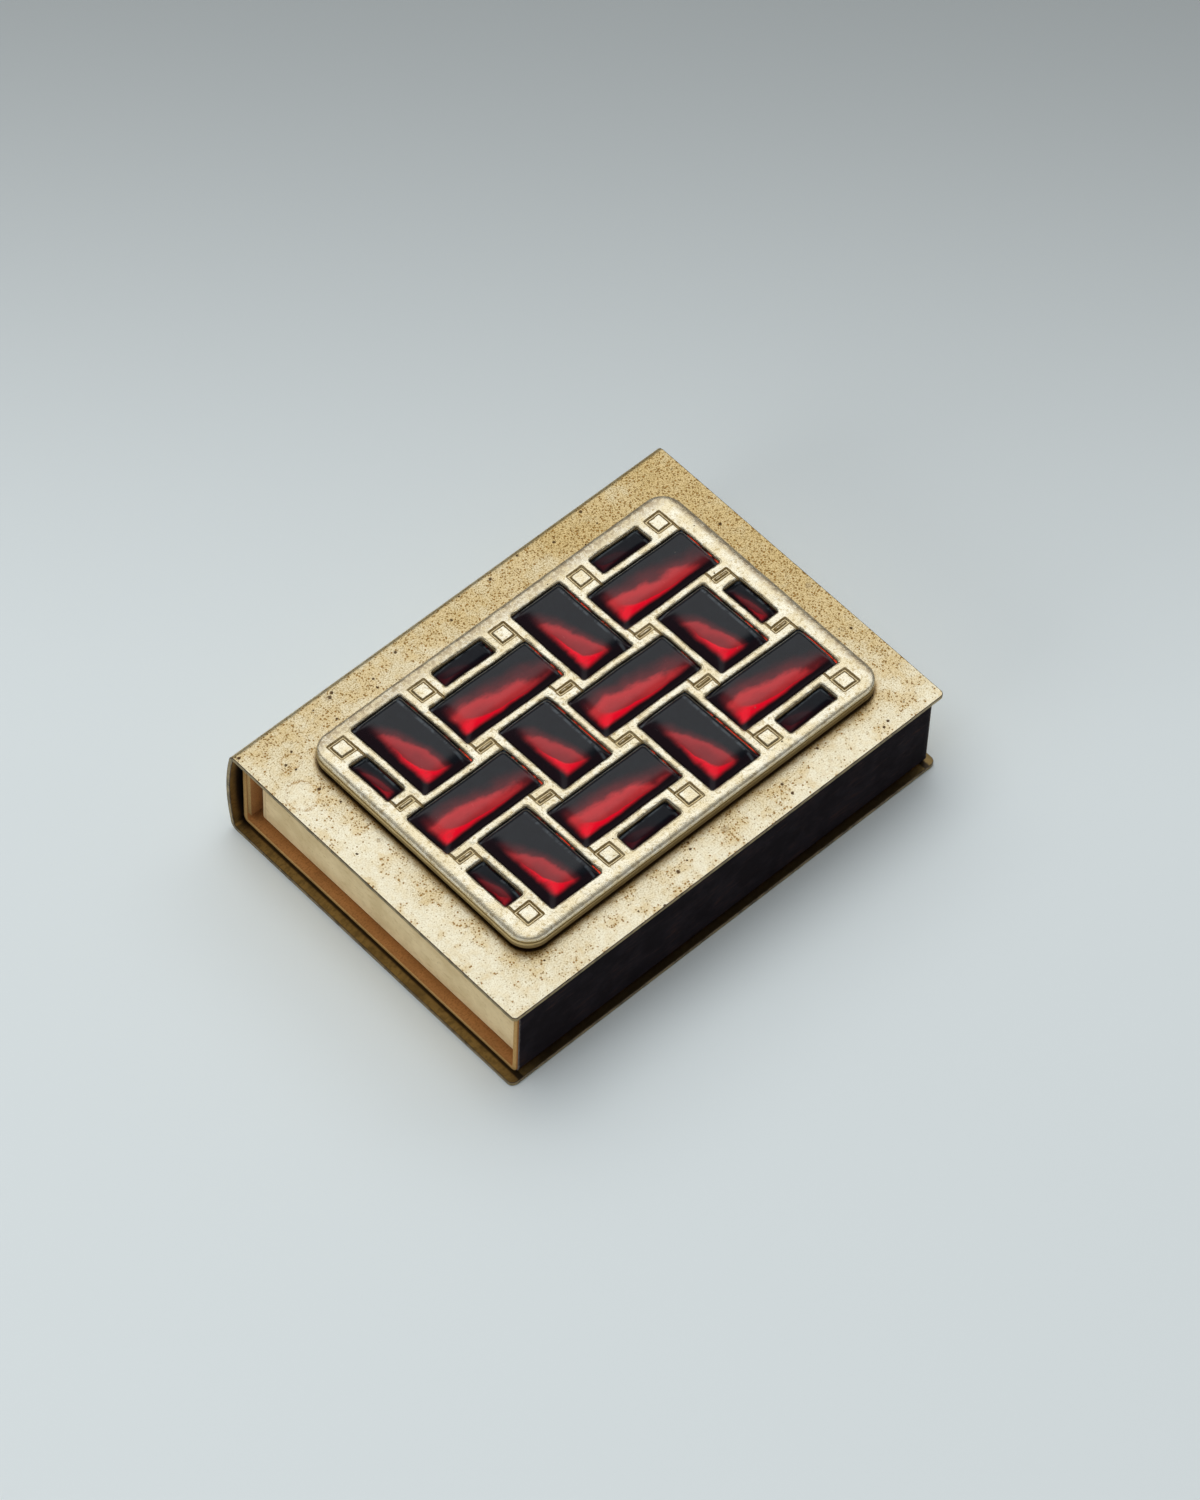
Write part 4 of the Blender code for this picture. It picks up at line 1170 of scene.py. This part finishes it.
def striking_coat(settings, low, high):
    """Near-black friction coat with brown scuffs, worn pale at its ends."""
    material, coords, shader = new_material("striking_coat")
    grit = cloud(coords, 0.14 * MM, 3.0, 0.75)
    patches = cloud(coords, 3.0 * MM, 4.0, 0.6)
    scratches = cloud(stretched(coords, (0.06, 1.0, 1.0)), 0.16 * MM, 3.0, 0.7)
    scuffs = ramp(patches * 0.5 + scratches, 0.80, 0.98)
    tone = blend(ramp(patches, 0.35, 0.65), settings.black, (0.018, 0.014, 0.018))
    tone = blend(scuffs * 0.55, tone, (0.070, 0.030, 0.018))
    from_middle = abs(coords.parts()[0] - (low.x + high.x) / 2)
    ragged = grit * (0.9 * MM) + from_middle - ((high.x - low.x) / 2 + 0.45 * MM)
    worn = ramp(ragged, -0.14 * MM, -0.02 * MM)
    tone = blend(worn * 0.6, tone, settings.frayed)
    feed(shader, Base_Color=tone, Roughness=0.75, Specular_IOR_Level=0.04,
         Normal=bump(grit - scuffs, 0.7, 0.04 * MM))
    return material


def strip_path(sleeve_low, sleeve_high, side, gap, settings):
    """The strip's section: flat on the sleeve's side and carried round both folds."""
    radius = settings.fold_radius + gap
    wrap = settings.strip_wrap / radius
    inner = abs(side) - settings.fold_radius
    upper = sleeve_high.z - settings.fold_radius
    lower = sleeve_low.z + settings.fold_radius
    return (arc((inner, upper), radius, wrap, 0.0, 5)
            + arc((inner, lower), radius, 0.0, -wrap, 5))


def wrapped_sheet(path, low, high, parts, centre):
    """A sheet swept round the middle, its faces outwards and its cut ends slightly frayed."""
    bm = swept_sheet(path, low.x, high.x, parts)
    outward = sum(face.normal.dot(face.calc_center_median() - centre) * face.calc_area()
                  for face in bm.faces)
    if outward < 0:
        bmesh.ops.reverse_faces(bm, faces=bm.faces)
    reach, near = 0.06 * MM, 0.1 * MM
    for vert in bm.verts:
        x, y, z = vert.co
        for end, inward in ((low.x, 1.0), (high.x, -1.0)):
            if abs(x - end) < near:
                fray = 0.5 + 0.5 * lumps(y + z * 1.3, end, 0.7 * MM, 5.0)
                vert.co.x += inward * reach * fray
    return bm


class MATCHCASE_OT_sleeve(bpy.types.Operator):
    """Wraps the matchbox's sleeve and lays a striking strip on each long side"""
    bl_idname = "matchcase.sleeve"
    bl_label = "Matchbox Sleeve"

    def execute(self, context):
        settings = context.scene.match_case.matchbox
        low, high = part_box("matchbox_sleeve")
        centre = (low + high) / 2
        strip_gap, strip_thickness = 0.03 * MM, 0.1 * MM
        bm = wrapped_sheet(sleeve_path(low, high, settings), low, high, 60, centre)
        materials = [
            card_face("sleeve_outside", settings.brown, 0.35),
            card_face("sleeve_inside", settings.brown, 0.45),
            card_face("cut_card", settings.tan, 0.45),
        ]
        piece = finish_piece(bm, "sleeve_wrap", materials, "matchbox", ["matchbox_sleeve"],
                             50)
        add_wall(piece, settings.card, 1, 2)
        for end, turn, surface in (("front", -1, low.y), ("back", 1, high.y)):
            strip_low, strip_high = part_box(f"striker_{end}")
            path = [(turn * y, z) for y, z in strip_path(low, high, surface, strip_gap, settings)]
            bm = wrapped_sheet(path, strip_low, strip_high, 80, centre)
            coat = striking_coat(settings, strip_low, strip_high)
            strip = finish_piece(bm, f"strip_{end}", [coat], "matchbox", [f"striker_{end}"],
                                 50)
            add_wall(strip, strip_thickness, 0, 0, 1.0)
        return {"FINISHED"}


def tray_paper(settings, low, high):
    """Cream card with faint stains, and a line where the end flap is glued over each side."""
    material, coords, shader = new_material("tray_paper")
    fibres = cloud(stretched(coords, (1.0, 0.35, 1.0)), 0.25 * MM, 4.0, 0.7)
    stains = cloud(coords, 3.2 * MM, 4.0, 0.6)
    tone = blend(ramp(stains, 0.36, 0.66), settings.cream, (0.74, 0.58, 0.32))
    tone = blend(ramp(fibres, 0.50, 0.75, 0.0, 0.55), tone, (0.56, 0.40, 0.18))
    tone = blend(spots(coords, 1.4 * MM, 0.06, 0.3) * 0.5, tone, (0.30, 0.19, 0.08))
    from_middle = abs(coords.parts()[1] - (low.y + high.y) / 2)
    seam_place = (high.y - low.y) / 2 - 0.6 * MM
    seam = ramp(abs(from_middle - seam_place), 0.12 * MM, 0.03 * MM) * 0.25
    tone = blend(seam, tone, (0.30, 0.20, 0.09))
    feed(shader, Base_Color=tone, Roughness=0.85, Specular_IOR_Level=0.25,
         Normal=bump(fibres - seam, 0.4, 0.04 * MM))
    return material


class MATCHCASE_OT_tray(bpy.types.Operator):
    """Folds the open card tray"""
    bl_idname = "matchcase.tray"
    bl_label = "Match Tray"

    def execute(self, context):
        settings = context.scene.match_case.matchbox
        low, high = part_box("match_tray")
        bm = bmesh.new()
        tall, base_round = (high.z - low.z) / 2, 0.25 * MM
        upright = [edge for edge in add_block(bm, low, high)
                   if abs(edge.verts[0].co.z - edge.verts[1].co.z) > tall]
        round_off(bm, upright, settings.tray_corner, 5)
        base = min(bm.faces, key=lambda face: face.calc_center_median().z)
        round_off(bm, list(base.edges), base_round, 3)
        bmesh.ops.recalc_face_normals(bm, faces=bm.faces)
        lid = max(bm.faces, key=lambda face: face.calc_center_median().z)
        bmesh.ops.delete(bm, geom=[lid], context="FACES_ONLY")
        paper = tray_paper(settings, low, high)
        materials = [paper, paper, card_face("tray_cut_edge", settings.tray_cut, 0.4)]
        piece = finish_piece(bm, "folded_tray", materials, "tray", ["match_tray"], 50)
        add_wall(piece, settings.tray_card, 1, 2)
        return {"FINISHED"}


# Matches


def match_wood(settings):
    material, coords, shader = new_material("match_wood")
    grain = cloud(stretched(coords, (0.05, 1.0, 1.0)), 0.20 * MM, 4.0, 0.65)
    tone = blend(ramp(grain, 0.36, 0.68), settings.wood, (0.50, 0.31, 0.14))
    feed(shader, Base_Color=tone, Roughness=0.75, Normal=bump(grain, 0.4, 0.04 * MM))
    return material


def match_head(settings):
    material, coords, shader = new_material("match_head")
    grit = cloud(coords, 0.22 * MM, 4.0, 0.7)
    tone = blend(ramp(grit, 0.38, 0.66), settings.head, scaled(settings.head, 0.45))
    feed(shader, Base_Color=tone, Roughness=0.7, Normal=bump(grit, 0.7, 0.05 * MM))
    return material


def add_head(bm, low, high, seed):
    """A dipped head: round at its tip, drawn out along the stick, slightly lumpy."""
    size = high - low
    centre = (low + high) / 2
    turn = Matrix.Rotation(math.pi / 2, 4, "Y")
    made = bmesh.ops.create_uvsphere(bm, u_segments=24, v_segments=18, radius=0.5, matrix=turn)
    for vert in made["verts"]:
        x, y, z = vert.co
        fuller = 1.0 - 0.18 * max(0.0, x * 2)
        swell = 1.0 - 0.05 * (0.5 + 0.5 * noise.noise(Vector((x * 5, y * 5, z * 5 + seed))))
        local = Vector((x * size.x, y * size.y * fuller, z * size.z * fuller)) * swell
        vert.co = centre + local


class MATCHCASE_OT_matches(bpy.types.Operator):
    """Lays the sticks and their dipped heads in the tray"""
    bl_idname = "matchcase.matches"
    bl_label = "Matches"

    def execute(self, context):
        settings = context.scene.match_case.matches
        sticks, heads = bmesh.new(), bmesh.new()
        for index, (stick, head) in enumerate(zip(STICK_NODES, HEAD_NODES)):
            round_off(sticks, add_block(sticks, *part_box(stick)), settings.chamfer, 2)
            add_head(heads, *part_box(head), index * 3.1)
        for bm in (sticks, heads):
            bmesh.ops.recalc_face_normals(bm, faces=bm.faces)
        finish_piece(sticks, "match_sticks", [match_wood(settings)], "tray", STICK_NODES,
                     40)
        finish_piece(heads, "match_heads", [match_head(settings)], "tray", HEAD_NODES,
                     80)
        return {"FINISHED"}


# Stage

# Directions over the floor: away from the camera, and to its right.
AWAY = (0.7056, 0.7086, 0.0)
ASIDE = (0.7086, -0.7056, 0.0)


def floor_material(settings):
    """A pale sheet of paper with painted shade that grows darker away from the camera."""
    material, coords, shader = new_material("floor_paper")
    painted_falloff = ramp(coords.vector("DOT_PRODUCT", AWAY), 0.0, 130.0 * MM)
    tone = blend(painted_falloff, settings.floor, scaled(settings.floor, 0.45))
    feed(shader, Base_Color=tone, Roughness=0.9, Specular_IOR_Level=0.1)
    return material


def make_world(settings):
    """A dim room with one broad soft panel high behind the case and a grey backdrop below it.

    Only shiny parts mirror its pale low walls and the pale patch overhead.
    """
    world = bpy.data.worlds.new("studio")
    world.use_nodes = True
    tree = world.node_tree
    towards = Value(node(tree, "ShaderNodeTexCoord"), "Generated").vector("NORMALIZE")
    back = towards.vector("DOT_PRODUCT", AWAY)
    sides = abs(towards.vector("DOT_PRODUCT", ASIDE))
    height = towards.parts()[2]
    panel = ramp(back, 0.22, 0.48) * ramp(height, 0.40, 0.62) * ramp(sides, 0.90, 0.62)
    backdrop = ramp(back, 0.1, 0.7) * ramp(height, 0.62, 0.30)
    walls = ramp(height, 0.06, 0.20) * ramp(height, 0.64, 0.46)
    walls = walls * ramp(back, 0.25, 0.0, 0.0, settings.ring)
    overhead = ramp(height, 0.935, 0.985, 0.0, settings.overhead)
    shiny = Value(node(tree, "ShaderNodeLightPath"), "Is Glossy Ray")
    even = shiny * ((settings.mirrored - 1.0) * settings.ambient) + settings.ambient
    light = even + panel * settings.panel + backdrop * settings.backdrop
    background = tree.nodes["Background"]
    background.inputs["Color"].default_value = (0.98, 1.0, 1.02, 1.0)
    fill(background.inputs["Strength"], light + (walls + overhead) * shiny)
    bpy.context.scene.world = world


def add_lamp(name, place, size, power):
    """A round softbox that looks at the case and is not seen in shiny parts."""
    lamp = bpy.data.lights.new(name, "AREA")
    lamp.shape = "DISK"
    lamp.size = size
    lamp.energy = power
    item = bpy.data.objects.new(name, lamp)
    bpy.context.scene.collection.objects.link(item)
    item.location = place
    item.rotation_euler = (-Vector(place)).to_track_quat("-Z", "Y").to_euler()
    item.visible_glossy = False


def make_camera(settings):
    camera = bpy.data.cameras.new("camera")
    camera.sensor_fit = "AUTO"
    camera.sensor_width = 36.0
    camera.lens = settings.lens
    camera.clip_start = 0.01
    camera.clip_end = 20.0
    item = bpy.data.objects.new("camera", camera)
    bpy.context.scene.collection.objects.link(item)
    across, upward = Vector(settings.across), Vector(settings.upward)
    turn = Matrix((across, upward, across.cross(upward))).transposed()
    item.matrix_world = Matrix.Translation(Vector(settings.camera)) @ turn.to_4x4()
    bpy.context.scene.camera = item


class MATCHCASE_OT_stage(bpy.types.Operator):
    """Makes the pale floor, the soft light and the camera"""
    bl_idname = "matchcase.stage"
    bl_label = "Stage"

    def execute(self, context):
        settings = context.scene.match_case.stage
        bm = bmesh.new()
        bmesh.ops.create_grid(bm, x_segments=8, y_segments=8, size=3.0)
        mesh = bpy.data.meshes.new("floor")
        bm.to_mesh(mesh)
        bm.free()
        mesh.transform(Matrix.Translation((0.0, 0.0, -0.02 * MM)))
        mesh.materials.append(floor_material(settings))
        floor = bpy.data.objects.new("floor", mesh)
        context.scene.collection.objects.link(floor)
        make_world(settings)
        add_lamp("top_softbox", (-0.09, 0.12, 0.80), 0.8, settings.key)
        add_lamp("left_fill", (-0.80, 0.05, 0.28), 0.5, settings.fill)
        make_camera(settings)
        context.scene.view_settings.view_transform = "Standard"
        return {"FINISHED"}


class MATCHCASE_PT_panel(bpy.types.Panel):
    """Lists the steps that dress the match case"""
    bl_idname = "MATCHCASE_PT_panel"
    bl_label = "Match Case"
    bl_space_type = "VIEW_3D"
    bl_region_type = "UI"
    bl_category = "Match Case"

    def draw(self, context):
        for operator in OPERATORS:
            self.layout.operator(operator.bl_idname)
        for group in ("cover", "plaque", "enamel", "matchbox", "matches", "stage"):
            box = self.layout.box()
            box.label(text=group.capitalize())
            settings = getattr(context.scene.match_case, group)
            for name in settings.bl_rna.properties.keys():
                if name not in {"rna_type", "name"}:
                    box.prop(settings, name)


OPERATORS = (
    MATCHCASE_OT_cover,
    MATCHCASE_OT_plaque,
    MATCHCASE_OT_enamel,
    MATCHCASE_OT_sleeve,
    MATCHCASE_OT_tray,
    MATCHCASE_OT_matches,
    MATCHCASE_OT_stage,
)
CLASSES = (
    CoverSettings, PlaqueSettings, EnamelSettings, MatchboxSettings, MatchSettings, StageSettings,
    MatchCaseSettings, *OPERATORS, MATCHCASE_PT_panel,
)


def register():
    for item in CLASSES:
        bpy.utils.register_class(item)
    bpy.types.Scene.match_case = bpy.props.PointerProperty(type=MatchCaseSettings)


def unregister():
    del bpy.types.Scene.match_case
    for item in reversed(CLASSES):
        bpy.utils.unregister_class(item)


def main():
    register()
    bpy.ops.matchcase.cover()
    bpy.ops.matchcase.plaque()
    bpy.ops.matchcase.enamel()
    bpy.ops.matchcase.sleeve()
    bpy.ops.matchcase.tray()
    bpy.ops.matchcase.matches()
    bpy.ops.matchcase.stage()


if __name__ == "__main__":
    main()
